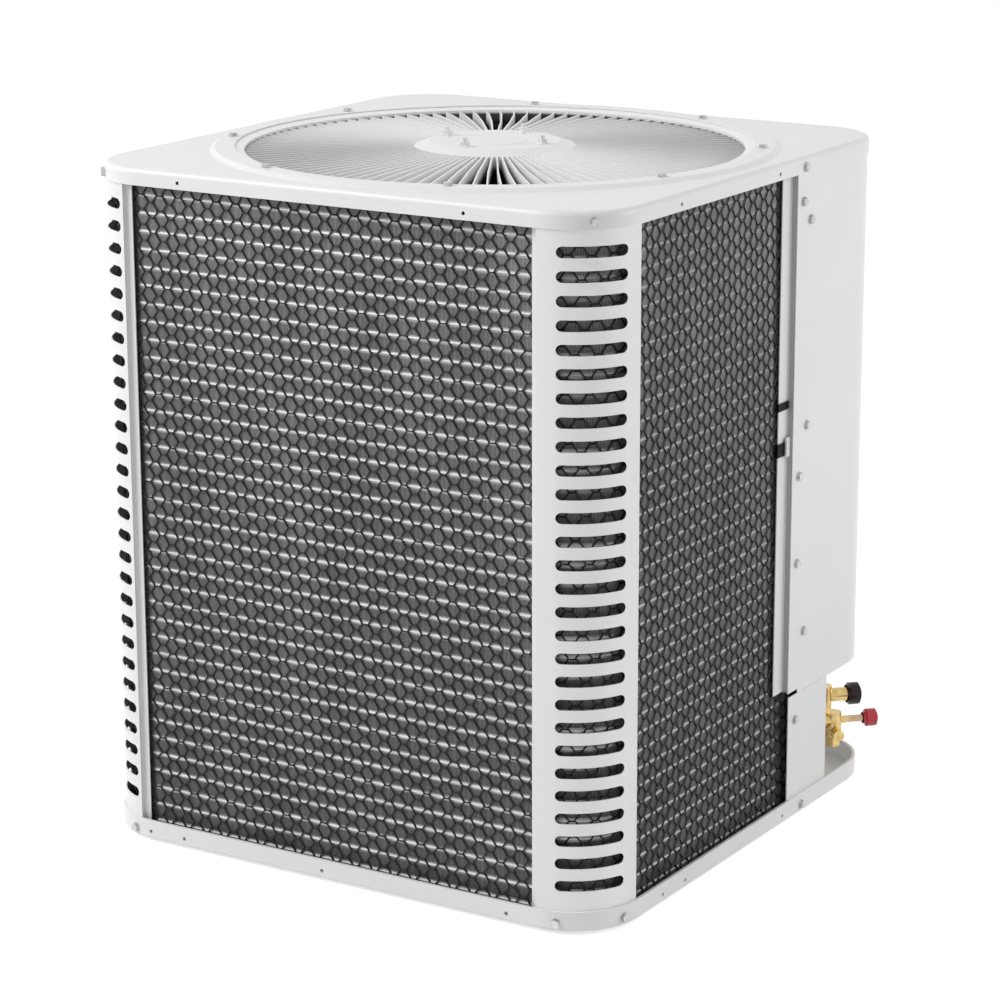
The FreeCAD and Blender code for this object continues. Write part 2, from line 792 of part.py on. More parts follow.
def make_post(first_edge, second_edge):
    """A quarter-round slotted post at the front corner, with a joggled strip at each edge."""
    wall = rounded_wall(face, face_back, post_bottom, post_top)
    round_part = wall.common(box(first_edge, -half, post_bottom, half, -second_edge, post_top))
    flip = FreeCAD.Vector(1, 1, 0)
    second = [piece.mirror(CENTRE, flip) for piece in joggled_edge(second_edge)]
    return fused([round_part] + joggled_edge(first_edge) + second).cut(slot_cutters())


def post_with_holes(post, number):
    """One post in its corner, with the holes for the screws of rim and skirt."""
    seats = rim_screw_seats[2 * number:2 * number + 2] + [skirt_screw_seats[number]]
    return turned(post, -90 * number).cut(screw_holes(seats, screw_length + hole_clearance))


def make_service_post():
    """The strip, wall and hidden flange beside the service cover, on the right-hand side."""
    top = post_top
    strip = box(strip_back, service_strip_near, service_low, strip_face, service_wall + sheet, top)
    wall = box(strip_back, service_wall, service_low, face_back - lap_gap, service_wall + sheet, top)
    flange = box(face_back - lap_gap - sheet, service_wall, service_low,
                 face_back - lap_gap, service_wall + service_flange, top)
    post = fused([strip, wall, flange])
    return post.cut(screw_holes(cover_seats_right + top_seats_right, screw_length))


def make_service_cover():
    """The cover that runs from one side, round the service corner, to the other side."""
    wall = rounded_wall(face, face_back, cover_low, post_top)
    cover = wall.common(box(cover_edge, cover_edge, cover_low, half, half, post_top))
    notch = box(face_back - sheet, cover_edge, cover_low,
                half, cover_edge + cover_notch_length, cover_low + cover_notch_height)
    cover = cover.cut(notch).cut(mirrored(notch))
    seats = cover_seats_right + cover_seats_back + top_seats_right + top_seats_back
    return cover.cut(screw_holes(seats, screw_length))


def make_lower_panel():
    """The panel under the cover, turned inwards as the plate that carries the valves."""
    top = cover_low - lap_gap
    inner_edge = recess_edge - sheet * math.tan(math.radians(22.5))
    outline = [vec(face, panel_near, 0), vec(face, recess_edge, 0), vec(recess_edge, face, 0),
               vec(panel_near, face, 0), vec(panel_near, face_back, 0), vec(inner_edge, face_back, 0),
               vec(face_back, inner_edge, 0), vec(face_back, panel_near, 0), vec(face, panel_near, 0)]
    panel = Part.Face(Part.makePolygon(outline)).extrude(UP * (top - post_bottom))
    panel.translate(UP * post_bottom)
    behind = valve_plate_distance - 4 * sheet
    seats = panel_seats_right + panel_seats_back + panel_rim_seats_right + panel_rim_seats_back
    cuts = [cylinder(suction_line_radius + line_hole_clearance,
                     at_service_corner(behind, valve_spread, suction_axis_height), OUTWARD, 8 * sheet),
            cylinder(tube_radius + line_hole_clearance,
                     at_service_corner(behind, -valve_spread, liquid_axis_height), OUTWARD, 8 * sheet),
            screw_holes(seats, screw_length)]
    return panel.cut(Part.makeCompound(cuts))


def make_control_box():
    """A plate across the service corner with a shelf at its foot and one at its top."""
    outer = face_back - lap_gap - sheet - lap_gap
    low = cover_low
    corner_room = rounded_block(outer, low, control_box_top)
    past_plate = box(0, -half, low, half, half, control_box_top)
    past_plate.rotate(CENTRE, UP, 45)
    past_plate.translate(OUTWARD * control_plate_distance)
    room = corner_room.common(past_plate)
    hollow_block = box(0, -half, low + sheet, half, half, control_box_top - sheet)
    hollow_block.rotate(CENTRE, UP, 45)
    hollow_block.translate(OUTWARD * (control_plate_distance + sheet))
    return room.cut(hollow_block)


def control_plate_point(side, height):
    return at_service_corner(control_plate_distance + sheet, side, height)


def box_on_plate(side, height, width, tall, deep):
    """A block that stands on the control plate, centred across at one side offset."""
    block = box(0, -width / 2, 0, deep, width / 2, tall)
    block.rotate(CENTRE, UP, 45)
    block.translate(control_plate_point(side, height))
    return block


def make_contactor():
    """The contactor's case, with the pocket that its plunger slides in."""
    body = box_on_plate(contactor_side, contactor_low, contactor_width, contactor_tall, contactor_depth)
    low = contactor_low + plunger_rise
    width = plunger_width + 2 * plunger_slip
    tall = plunger_tall + 2 * plunger_slip
    pocket = box_on_plate(contactor_side, low, width, tall, 2 * contactor_depth)
    pocket = pocket.cut(box_on_plate(contactor_side, low, width, tall, plunger_pocket_floor))
    return body.cut(pocket)


def make_contactor_plunger():
    low = contactor_low + plunger_rise + plunger_slip
    block = box_on_plate(contactor_side, low, plunger_width, plunger_tall, plunger_length)
    block.translate(OUTWARD * plunger_seat)
    return block


def capacitor_foot(height):
    """A point on the capacitor's axis, which stands off the plate by its strap's thickness."""
    return at_service_corner(control_plate_distance + sheet + capacitor_stand, capacitor_side, height)


def make_capacitor():
    can = cylinder(capacitor_radius, capacitor_foot(capacitor_low), UP, capacitor_tall)
    return can.makeChamfer(capacitor_edge, loop_edges(can, capacitor_low))


def make_capacitor_strap():
    foot = capacitor_foot(capacitor_low + capacitor_strap_rise)
    return tube(capacitor_radius + capacitor_strap_wall, capacitor_radius, foot, UP, capacitor_strap_width)


def make_terminal_block():
    body = box_on_plate(0, terminal_low, terminal_width, terminal_tall, terminal_depth)
    pocket_low = terminal_low + (terminal_tall - terminal_pocket_tall) / 2
    pockets = [box_on_plate(side, pocket_low, terminal_pocket_width, terminal_pocket_tall, 2 * terminal_depth)
               for side in terminal_pocket_sides]
    floor = box_on_plate(0, terminal_low, terminal_width, terminal_tall, terminal_floor)
    return fused([body.cut(Part.makeCompound(pockets)), floor])


def fin_grooves():
    """Upright grooves in the outer side of the fin pack, evenly spaced between the corners."""
    first = fin_groove_spacing / 2
    count = int((corner_centre - first) / fin_groove_spacing) + 1
    places = [s * (first + step * fin_groove_spacing) for step in range(count) for s in (-1, 1)]
    shorter = [place for place in places if place + fin_groove_spacing / 2 < coil_end]
    grooves = []
    for side, offsets in ((0, places), (3, places), (1, shorter), (2, [-place for place in shorter])):
        for offset in offsets:
            groove = box(offset - fin_groove_width / 2, -coil_face, coil_bottom,
                         offset + fin_groove_width / 2, fin_groove_depth - coil_face, coil_top)
            grooves.append(turned(groove, 90 * side))
    return Part.makeCompound(grooves)


def make_coil_fins():
    """The finned wall round the cabinet's sides, as one solid with grooves between its groups of fins."""
    wall = rounded_wall(coil_face, coil_back, coil_bottom, coil_top)
    return wall.cut(box(coil_end, coil_end, coil_bottom, half, half, coil_top)).cut(fin_grooves())


def make_coil_net():
    top = skirt_bottom + net_lap
    wall = rounded_wall(net_face, net_back, coil_bottom, top)
    return wall.cut(box(coil_end, coil_end, coil_bottom, half, half, top))


def make_end_plate():
    """The tube plate at the coil's right-hand end."""
    return box(coil_back - end_plate_lip, coil_end + lap_gap, coil_bottom,
               coil_face, coil_end + lap_gap + sheet, coil_top)


def row_height(row):
    return coil_bottom + (row + 0.5) * tube_pitch


def return_bend(row):
    """A U of tube between one row and the next, at the coil's right-hand end, with an eight-sided section."""
    low = row_height(row)
    turn = tube_pitch / 2
    first = vec(coil_line, tube_start, low)
    last = vec(coil_line, tube_start, low + tube_pitch)
    lead = vec(0, bend_lead, 0)
    top = vec(coil_line, tube_start + bend_lead + turn, low + turn)
    path = Part.Wire([Part.makeLine(first, first + lead), Part.Arc(first + lead, top, last + lead).toShape(),
                      Part.makeLine(last + lead, last)])
    ring = []
    for corner in range(9):
        angle = math.radians(45 * corner + 22.5)
        ring.append(first + vec(tube_radius * math.cos(angle), 0, tube_radius * math.sin(angle)))
    return path.makePipeShell([Part.makePolygon(ring)], True, False)


def make_return_bends(first_row):
    return Part.makeCompound([return_bend(row) for row in range(first_row, tube_rows - 1, 2)])


def compressor_base_level():
    return coil_bottom + grommet_height


def make_compressor():
    low = compressor_base_level() + foot_plate_thickness
    shell = cylinder(compressor_radius, vec(compressor_x, compressor_y, low), UP, compressor_height)
    ends = loop_edges(shell, low) + loop_edges(shell, low + compressor_height)
    return shell.makeFillet(compressor_dome, ends)


def make_compressor_base():
    """Three-cornered foot plate under the shell."""
    low = compressor_base_level()
    pads = []
    reach = foot_plate_width / 2
    for x, y in compressor_feet():
        pads.append(cylinder(reach, vec(x, y, low), UP, foot_plate_thickness))
        arm = box(0, -reach, low, compressor_foot_circle, reach, low + foot_plate_thickness)
        angle = math.degrees(math.atan2(y - compressor_y, x - compressor_x))
        arm.rotate(CENTRE, UP, angle)
        arm.translate(vec(compressor_x, compressor_y, 0))
        pads.append(arm)
    plate = fused(pads)
    holes = [cylinder(foot_bolt_hole, vec(x, y, low), UP, foot_plate_thickness) for x, y in compressor_feet()]
    return plate.cut(Part.makeCompound(holes))


def make_grommets():
    return Part.makeCompound([tube(grommet_radius, foot_bolt_hole, vec(x, y, coil_bottom), UP, grommet_height)
                              for x, y in compressor_feet()])


def make_compressor_bolts():
    bolts = []
    head = compressor_base_level() + foot_plate_thickness
    for x, y in compressor_feet():
        shank = cylinder(foot_bolt_radius, vec(x, y, foot_height), UP, head - foot_height)
        bolts.append(fused([shank, hexagon(foot_bolt_flats, vec(x, y, head), UP, foot_bolt_head)]))
    return Part.makeCompound(bolts)


def make_terminal_cover():
    """Cover over the compressor's terminals, facing away from the accumulator."""
    low = compressor_base_level() + terminal_cover_rise
    side = terminal_cover_width / 2
    block = box(compressor_x - compressor_radius - terminal_cover_reach, compressor_y - side, low,
                compressor_x, compressor_y + side, low + terminal_cover_tall)
    shell = cylinder(compressor_radius, vec(compressor_x, compressor_y, low), UP, terminal_cover_tall)
    return block.cut(shell)


def accumulator_x():
    return compressor_x + compressor_radius + accumulator_radius + lap_gap


def make_accumulator():
    foot = vec(accumulator_x(), compressor_y, accumulator_low)
    can = cylinder(accumulator_radius, foot, UP, accumulator_height)
    ends = loop_edges(can, accumulator_low) + loop_edges(can, accumulator_low + accumulator_height)
    return can.makeFillet(accumulator_dome, ends)


def make_accumulator_band():
    """The band that ties the accumulator to the compressor."""
    level = accumulator_low + band_rise
    foot = vec(accumulator_x(), compressor_y, level)
    band = tube(accumulator_radius + band_thickness, accumulator_radius, foot, UP, band_width)
    return band.cut(cylinder(compressor_radius, vec(compressor_x, compressor_y, level), UP, band_width))


def make_suction_line():
    riser = control_plate_distance - suction_riser_inset
    over = accumulator_low + accumulator_height + suction_line_rise
    above = vec(accumulator_x(), compressor_y, over)
    points = [at_service_corner(valve_plate_distance + lap_gap, valve_spread, suction_axis_height),
              at_service_corner(riser, valve_spread, suction_axis_height),
              at_service_corner(riser, valve_spread, over), above, above - UP * suction_line_rise]
    return bent_rod(points, suction_line_radius, suction_line_bend)


def make_discharge_line():
    """From the compressor's dome, across under the fan, up past the orifice to the coil's top row."""
    start = vec(compressor_x, compressor_y,
                compressor_base_level() + foot_plate_thickness + compressor_height)
    level = start.z + discharge_rise
    top = row_height(tube_rows - 1)
    riser_x = coil_end + discharge_riser_lead
    riser_y = coil_back - discharge_riser_inset
    points = [start, vec(start.x, start.y, level), vec(riser_x, riser_y, level), vec(riser_x, riser_y, top),
              vec(riser_x, coil_line, top), vec(tube_start, coil_line, top)]
    return bent_rod(points, tube_radius, discharge_line_bend)


def make_condensate_line():
    """From the coil's lowest row to the drier."""
    low = row_height(0)
    points = [vec(coil_line, tube_start, low), vec(coil_line, drier_y, low),
              vec(drier_x, drier_y, low), vec(drier_x, drier_y, drier_low())]
    return bent_rod(points, tube_radius, liquid_line_bend)


def drier_low():
    return row_height(0) + drier_rise


def make_filter_drier():
    can = cylinder(drier_radius, vec(drier_x, drier_y, drier_low()), UP, drier_height)
    ends = loop_edges(can, drier_low()) + loop_edges(can, drier_low() + drier_height)
    return can.makeChamfer(drier_cone, ends)


def make_liquid_line():
    top = drier_low() + drier_height
    over = top + liquid_line_rise
    down = at_service_corner(control_plate_distance - liquid_riser_inset, -valve_spread, 0)
    points = [vec(drier_x, drier_y, top), vec(drier_x, drier_y, over), vec(down.x, down.y, over),
              vec(down.x, down.y, liquid_axis_height),
              at_service_corner(valve_plate_distance + lap_gap, -valve_spread, liquid_axis_height)]
    return bent_rod(points, tube_radius, liquid_line_bend)


def make_valve(distance, side, height, boss_radius, barrel_drop, port_drop, stub_radius, stub_end, stub_wall):
    """A boss on the plate, an upright barrel, the stub outwards, the stem downwards and a port sideways."""
    start = at_service_corner(valve_plate_distance + lap_gap, side, height)
    centre = at_service_corner(distance, side, height)
    barrel_low = centre - UP * (boss_radius + barrel_drop)
    port_start = centre - UP * port_drop
    pieces = [cylinder(boss_radius - barrel_inset, start, OUTWARD, distance - valve_plate_distance - lap_gap),
              cylinder(boss_radius, barrel_low, UP, 2 * boss_radius + barrel_drop),
              cylinder(stub_radius, centre, OUTWARD, stub_end - distance),
              cylinder(boss_radius / 2, barrel_low - UP * stem_reach, UP, stem_reach + boss_radius),
              cylinder(port_radius, port_start, away_from_other_valve(side), boss_radius + port_reach)]
    bore_start = centre + OUTWARD * (boss_radius + 2 * barrel_inset)
    return fused(pieces).cut(cylinder(stub_radius - stub_wall, bore_start, OUTWARD, stub_end - distance))


def away_from_other_valve(side):
    return SIDEWAYS * math.copysign(1, side)


def stem_cap(distance, side, height, boss_radius, barrel_drop, across_flats):
    """A blind hex cap over the stem, its mouth just under the barrel."""
    mouth = at_service_corner(distance, side, height - boss_radius - barrel_drop - lap_gap)
    bore = cylinder(boss_radius / 2 + running_clearance, mouth, UP * -1, stem_cap_length - cap_end)
    return hexagon(across_flats, mouth, UP * -1, stem_cap_length).cut(bore)


def port_cap(distance, side, height, boss_radius, port_drop, radius, length):
    """A blind round cap over the port at the valve's side."""
    away = away_from_other_valve(side)
    mouth = at_service_corner(distance, side, height - port_drop) + away * (boss_radius + lap_gap)
    bore = cylinder(port_radius + running_clearance, mouth, away, length - cap_end)
    return cylinder(radius, mouth, away, length).cut(bore)


def dust_cap(stub_radius, stub_end, side, height, wall, grip):
    """A blind cap pushed over the end of a stub."""
    mouth = at_service_corner(stub_end - grip, side, height)
    end = wall + lap_gap
    cap = cylinder(stub_radius + wall, mouth, OUTWARD, grip + end)
    return cap.cut(cylinder(stub_radius + running_clearance, mouth, OUTWARD, grip + lap_gap))


def make_screws(seats):
    return Part.makeCompound([screw(point, out) for point, out in seats])


def make_net_straps():
    """Two short straps that hold the net's edge to the service strip."""
    seat = strip_face + lap_gap
    straps = []
    for level, width in strap_places:
        straps.append(box(seat, service_strip_near - strap_overhang, level - width / 2,
                          seat + strap_thickness, service_wall - lap_gap, level + width / 2))
    return Part.makeCompound(straps)


def make_strap_clip():
    seat = strip_face + 2 * lap_gap + strap_thickness
    return box(seat, service_wall - clip_width, clip_low,
               seat + clip_thickness, service_wall - lap_gap, clip_top)


front_post = make_post(post_edge, post_edge)
left_post = make_post(post_edge, left_post_edge)
parts = {
    "base_pan": make_base_pan(),
    "top_cover": make_top_cover(),
    "fan_guard": make_fan_guard(),
    "guard_stiffener": make_stiffener(),
    "hub_cover": make_hub_cover(),
    "motor_studs": make_motor_studs(),
    "motor_nuts": make_motor_nuts(),
    "fan_motor": make_fan_motor(),
    "motor_shaft": make_motor_shaft(),
    "fan_boss": make_fan_boss(),
    "fan_set_screw": make_set_screw(),
    "fan_spider": make_fan_spider(),
    "fan_blades": make_fan_blades(),
    "fan_orifice": make_fan_orifice(),
    "corner_post_front": post_with_holes(front_post, 0),
    "corner_post_left": post_with_holes(left_post, 1),
    "corner_post_back": post_with_holes(front_post, 2),
    "service_post_right": make_service_post(),
    "service_post_back": mirrored(make_service_post()),
    "service_cover": make_service_cover(),
    "lower_panel": make_lower_panel(),
    "control_box": make_control_box(),
    "contactor": make_contactor(),
    "contactor_plunger": make_contactor_plunger(),
    "capacitor": make_capacitor(),
    "capacitor_strap": make_capacitor_strap(),
    "terminal_block": make_terminal_block(),
    "coil_fins": make_coil_fins(),
    "coil_net": make_coil_net(),
    "coil_end_plate_right": make_end_plate(),
    "coil_end_plate_back": mirrored(make_end_plate()),
    "return_bends_right": make_return_bends(1),
    "return_bends_back": mirrored(make_return_bends(0)),
    "compressor": make_compressor(),
    "compressor_base": make_compressor_base(),
    "compressor_grommets": make_grommets(),
    "compressor_bolts": make_compressor_bolts(),
    "compressor_terminal_cover": make_terminal_cover(),
    "accumulator": make_accumulator(),
    "accumulator_band": make_accumulator_band(),
    "suction_line": make_suction_line(),
    "discharge_line": make_discharge_line(),
    "condensate_line": make_condensate_line(),
    "filter_drier": make_filter_drier(),
    "liquid_line": make_liquid_line(),
    "suction_valve": make_valve(suction_valve_distance, valve_spread, suction_axis_height,
                                suction_boss_radius, suction_barrel_drop, suction_port_drop,
                                suction_line_radius, suction_stub_end, suction_stub_wall),
    "liquid_valve": make_valve(liquid_valve_distance, -valve_spread, liquid_axis_height, liquid_boss_radius,
                               liquid_barrel_drop, liquid_port_drop, liquid_stub_radius, liquid_stub_end,
                               liquid_stub_wall),
    "suction_stem_cap": stem_cap(suction_valve_distance, valve_spread, suction_axis_height,
                                 suction_boss_radius, suction_barrel_drop, suction_stem_cap_flats),
    "liquid_stem_cap": stem_cap(liquid_valve_distance, -valve_spread, liquid_axis_height,
                                liquid_boss_radius, liquid_barrel_drop, liquid_stem_cap_flats),
    "suction_port_cap": port_cap(suction_valve_distance, valve_spread, suction_axis_height,
                                 suction_boss_radius, suction_port_drop, suction_port_cap_radius,
                                 suction_port_cap_length),
    "liquid_port_cap": port_cap(liquid_valve_distance, -valve_spread, liquid_axis_height,
                                liquid_boss_radius, liquid_port_drop, liquid_port_cap_radius,
                                liquid_port_cap_length),
    "suction_dust_cap": dust_cap(suction_line_radius, suction_stub_end, valve_spread, suction_axis_height,
                                 suction_cap_wall, suction_cap_grip),
    "liquid_dust_cap": dust_cap(liquid_stub_radius, liquid_stub_end, -valve_spread, liquid_axis_height,
                                liquid_cap_wall, liquid_cap_grip),
    "guard_screws": make_screws(guard_screw_seats),
    "skirt_screws": make_screws(skirt_screw_seats + top_seats_right + top_seats_back),
    "rim_screws": make_screws(rim_screw_seats + panel_rim_seats_right + panel_rim_seats_back),
    "cover_screws": make_screws(cover_seats_right + cover_seats_back),
    "panel_screws": make_screws(panel_seats_right + panel_seats_back),
    "net_straps": make_net_straps(),
    "strap_clip": make_strap_clip(),
}

os.makedirs("parts", exist_ok=True)
for name, shape in parts.items():
    shape.exportStep(f"parts/{name}.step")
print(len(parts), "parts")
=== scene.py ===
# %% [markdown]
# An outdoor condensing unit: a white sheet-metal cabinet with a coil round its sides, a black
# net over the coil and a fan guard on top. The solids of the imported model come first, as a
# fixed frame. They could all be modelled again, but most already have the right shape, so
# they stay and only get a finish. What repeats finely, the fins, tubes and net, is made here, and
# so are the two dust caps.

# %% Load the frame
import bpy
import json
import math
from mathutils import Matrix, Vector


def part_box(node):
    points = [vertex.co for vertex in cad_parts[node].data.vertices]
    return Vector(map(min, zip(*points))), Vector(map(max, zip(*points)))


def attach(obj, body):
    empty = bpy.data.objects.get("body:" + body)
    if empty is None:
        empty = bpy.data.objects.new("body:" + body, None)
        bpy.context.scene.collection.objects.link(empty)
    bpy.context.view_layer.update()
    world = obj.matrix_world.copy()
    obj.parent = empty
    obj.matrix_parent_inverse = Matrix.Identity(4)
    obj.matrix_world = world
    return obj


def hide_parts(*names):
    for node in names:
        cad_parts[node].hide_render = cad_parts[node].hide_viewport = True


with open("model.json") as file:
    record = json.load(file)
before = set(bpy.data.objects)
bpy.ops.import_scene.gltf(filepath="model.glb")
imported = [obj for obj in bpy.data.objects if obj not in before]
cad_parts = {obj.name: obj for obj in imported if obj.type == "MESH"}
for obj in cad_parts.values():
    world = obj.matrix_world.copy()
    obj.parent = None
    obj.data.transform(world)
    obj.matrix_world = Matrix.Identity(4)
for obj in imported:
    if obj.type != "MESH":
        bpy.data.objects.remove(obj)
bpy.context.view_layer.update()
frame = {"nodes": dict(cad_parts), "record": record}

# %% [markdown]
# The camera stands where the photograph was taken from: in front of the slotted post, a little
# above the roof. A level camera with a shift would keep the uprights parallel, but other views keep
# a shift, so the camera is tilted down instead and has none.

# %% Camera
LENS, SENSOR_WIDTH = 118.38, 36.0
FARTHEST_VIEW = 100.0
AIM_HEIGHT = 0.3892
CAMERA_DISTANCE = 3.6062
STAND_TURN, STAND_RISE = math.radians(31.834), math.radians(14.216)
LOOK_TURN, LOOK_RISE, ROLL = math.radians(31.760), math.radians(14.897), math.radians(-0.151)


def direction(turn, rise):
    """The way from the object to a viewer, by the turn round it and the rise above the floor."""
    return Vector((math.sin(turn) * math.cos(rise), -math.cos(turn) * math.cos(rise), math.sin(rise)))


def camera_matrix():
    """The camera's place, and its axes rolled a little about the view."""
    back = direction(LOOK_TURN, LOOK_RISE)
    right = Vector((math.cos(LOOK_TURN), math.sin(LOOK_TURN), 0.0))
    up = back.cross(right)
    rolled_right = right * math.cos(ROLL) + up * math.sin(ROLL)
    rolled_up = up * math.cos(ROLL) - right * math.sin(ROLL)
    axes = Matrix((rolled_right, rolled_up, back)).transposed().to_4x4()
    place = Vector((0.0, 0.0, AIM_HEIGHT)) + direction(STAND_TURN, STAND_RISE) * CAMERA_DISTANCE
    return Matrix.Translation(place) @ axes


camera_data = bpy.data.cameras.new("camera")
camera_data.lens = LENS
camera_data.sensor_width = SENSOR_WIDTH
camera_data.clip_end = FARTHEST_VIEW
camera = bpy.data.objects.new("camera", camera_data)
bpy.context.scene.collection.objects.link(camera)
camera.matrix_world = camera_matrix()
bpy.context.scene.camera = camera
bpy.context.scene.view_settings.view_transform = "Standard"
print("camera at", [round(v, 3) for v in camera.location])

# %% [markdown]
# A finish is made from three layers: a colour that wanders a little between two tones, a
# roughness that varies over the same patches, and a fine relief. One helper builds all three
# from noise on object coordinates. Photographs of paint could be used, but noise needs no
# picture file and has no seams. Where a surface lies deep or hidden, or the lamps light it too
# much or too little, light and shade are also painted into its colour by place, with the
# smaller helpers.

# %% Helpers for finishes
def link_chain(tree, *pairs):
    """Links each output to its input."""
    for source, target in pairs:
        tree.links.new(source, target)


def ranged(tree, value, low, high, centre=0.5, spread=0.25):
    """A value stretched round its middle, and brought between two limits."""
    node = tree.nodes.new("ShaderNodeMapRange")
    node.inputs["From Min"].default_value = centre - spread
    node.inputs["From Max"].default_value = centre + spread
    node.inputs["To Min"].default_value = low
    node.inputs["To Max"].default_value = high
    tree.links.new(value, node.inputs["Value"])
    return node.outputs["Result"]


def noise(tree, place, scale, detail=4.0):
    """A pattern without a direction, its scale in waves per metre."""
    node = tree.nodes.new("ShaderNodeTexNoise")
    node.inputs["Scale"].default_value = scale
    node.inputs["Detail"].default_value = detail
    tree.links.new(place, node.inputs["Vector"])
    return node.outputs["Fac"]


def along(tree, way):
    """How far a point lies along a direction."""
    dot = tree.nodes.new("ShaderNodeVectorMath")
    dot.operation = "DOT_PRODUCT"
    dot.inputs[1].default_value = way
    tree.links.new(tree.nodes.new("ShaderNodeTexCoord").outputs["Object"], dot.inputs[0])
    return dot.outputs["Value"]


def combined(tree, operation, first, second):
    """Two values added, multiplied or compared."""
    node = tree.nodes.new("ShaderNodeMath")
    node.operation = operation
    link_chain(tree, (first, node.inputs[0]), (second, node.inputs[1]))
    return node.outputs[0]


def size_of(tree, value):
    """A value without its sign."""
    node = tree.nodes.new("ShaderNodeMath")
    node.operation = "ABSOLUTE"
    tree.links.new(value, node.inputs[0])
    return node.outputs[0]


def two_tones(tree, share, dark, light):
    """A colour between two tones."""
    node = tree.nodes.new("ShaderNodeMix")
    node.data_type = "RGBA"
    node.inputs["A"].default_value = (*dark, 1.0)
    node.inputs["B"].default_value = (*light, 1.0)
    tree.links.new(share, node.inputs["Factor"])
    return node.outputs["Result"]


def finish(name, dark, light, rough, metal=0.0, patch=9.0, grain=700.0, relief=0.00004,
           stretch=(1, 1, 1), specular=0.5):
    """A material whose tone, gloss and relief vary. Patch and grain are per metre, relief in metres."""
    material = bpy.data.materials.new(name)
    material.use_nodes = True
    tree = material.node_tree
    shader = tree.nodes["Principled BSDF"]
    shader.inputs["Metallic"].default_value = metal
    shader.inputs["Specular IOR Level"].default_value = specular
    coordinates = tree.nodes.new("ShaderNodeTexCoord")
    mapping = tree.nodes.new("ShaderNodeMapping")
    mapping.inputs["Scale"].default_value = stretch
    tree.links.new(coordinates.outputs["Object"], mapping.inputs["Vector"])
    place = mapping.outputs["Vector"]
    patches = noise(tree, place, patch)
    fine = noise(tree, place, grain, 2.0)
    bump = tree.nodes.new("ShaderNodeBump")
    bump.inputs["Distance"].default_value = relief
    colour = two_tones(tree, ranged(tree, patches, 0, 1), dark, light)
    link_chain(tree, (colour, shader.inputs["Base Color"]),
               (ranged(tree, patches, *rough), shader.inputs["Roughness"]),
               (fine, bump.inputs["Height"]), (bump.outputs["Normal"], shader.inputs["Normal"]))
    return material


def scale_colour(material, share):
    """Multiplies a finish's colour by a share."""
    tree = material.node_tree
    shader = tree.nodes["Principled BSDF"]
    colour = shader.inputs["Base Color"].links[0].from_socket
    shaded = tree.nodes.new("ShaderNodeVectorMath")
    shaded.operation = "SCALE"
    link_chain(tree, (colour, shaded.inputs[0]), (share, shaded.inputs["Scale"]),
               (shaded.outputs[0], shader.inputs["Base Color"]))


def grade(material, way, start, end, centre, spread):
    """Scales a finish's colour from one share to another along a direction."""
    tree = material.node_tree
    scale_colour(material, ranged(tree, along(tree, way), start, end, centre, spread))


def lose_light(material, loss):
    """Darkens a finish by a loss between nought and one."""
    scale_colour(material, ranged(material.node_tree, loss, 1.0, 0.0, 0.5, 0.5))


def tint(material, share, tone):
    """Blends a finish's colour towards one tone."""
    tree = material.node_tree
    shader = tree.nodes["Principled BSDF"]
    colour = shader.inputs["Base Color"].links[0].from_socket
    blended = two_tones(tree, share, tone, tone)
    tree.links.new(colour, blended.node.inputs["A"])
    tree.links.new(blended, shader.inputs["Base Color"])


print("helpers ready")

# %% [markdown]
# The cabinet is powder-coated white. Such paint is baked on and has a faint orange-peel
# relief, with a soft gloss. Its tone hardly varies, so the two tones lie close together.

# %% Paint
WHITE_DARK, WHITE_LIGHT = (0.80, 0.805, 0.81), (0.84, 0.843, 0.846)
PAINT_ROUGH, PAINT_RELIEF = (0.34, 0.42), 0.00003
white_paint = finish("white_paint", WHITE_DARK, WHITE_LIGHT, PAINT_ROUGH, relief=PAINT_RELIEF)
black_paint = finish("black_paint", (0.012, 0.012, 0.013), (0.022, 0.022, 0.023), (0.22, 0.34), patch=30.0)
# The fan's orifice, blades and spider are painted near black, as painted shade for the dark space under the
# guard.
fan_painted_shade = finish("fan_painted_shade", (0.020, 0.020, 0.022), (0.040, 0.040, 0.042), (0.45, 0.62), patch=30.0)
print("paints", white_paint.name, black_paint.name, fan_painted_shade.name)

# %% [markdown]
# The guard's paint is a little whiter, and hardly any light gets down between its vanes. So shade
# is painted into its material: it darkens by the depth under the line of the vanes' tops, which
# falls towards their ends. Shade could be painted by hand, but this follows the model's sizes.

# %% Paint of the fan guard
GUARD_TOP_INSIDE, GUARD_TOP_OUTSIDE = 0.7390, 0.7350
GUARD_HUB, GUARD_END = 0.0865, 0.2673
WHITE_DEPTH, DARK_DEPTH, WALL_DEPTH = 0.008, 0.015, 0.0025
DARKEST = 0.06
WALL_EDGE, WALL_FADE = GUARD_END - 0.0008, 0.0003


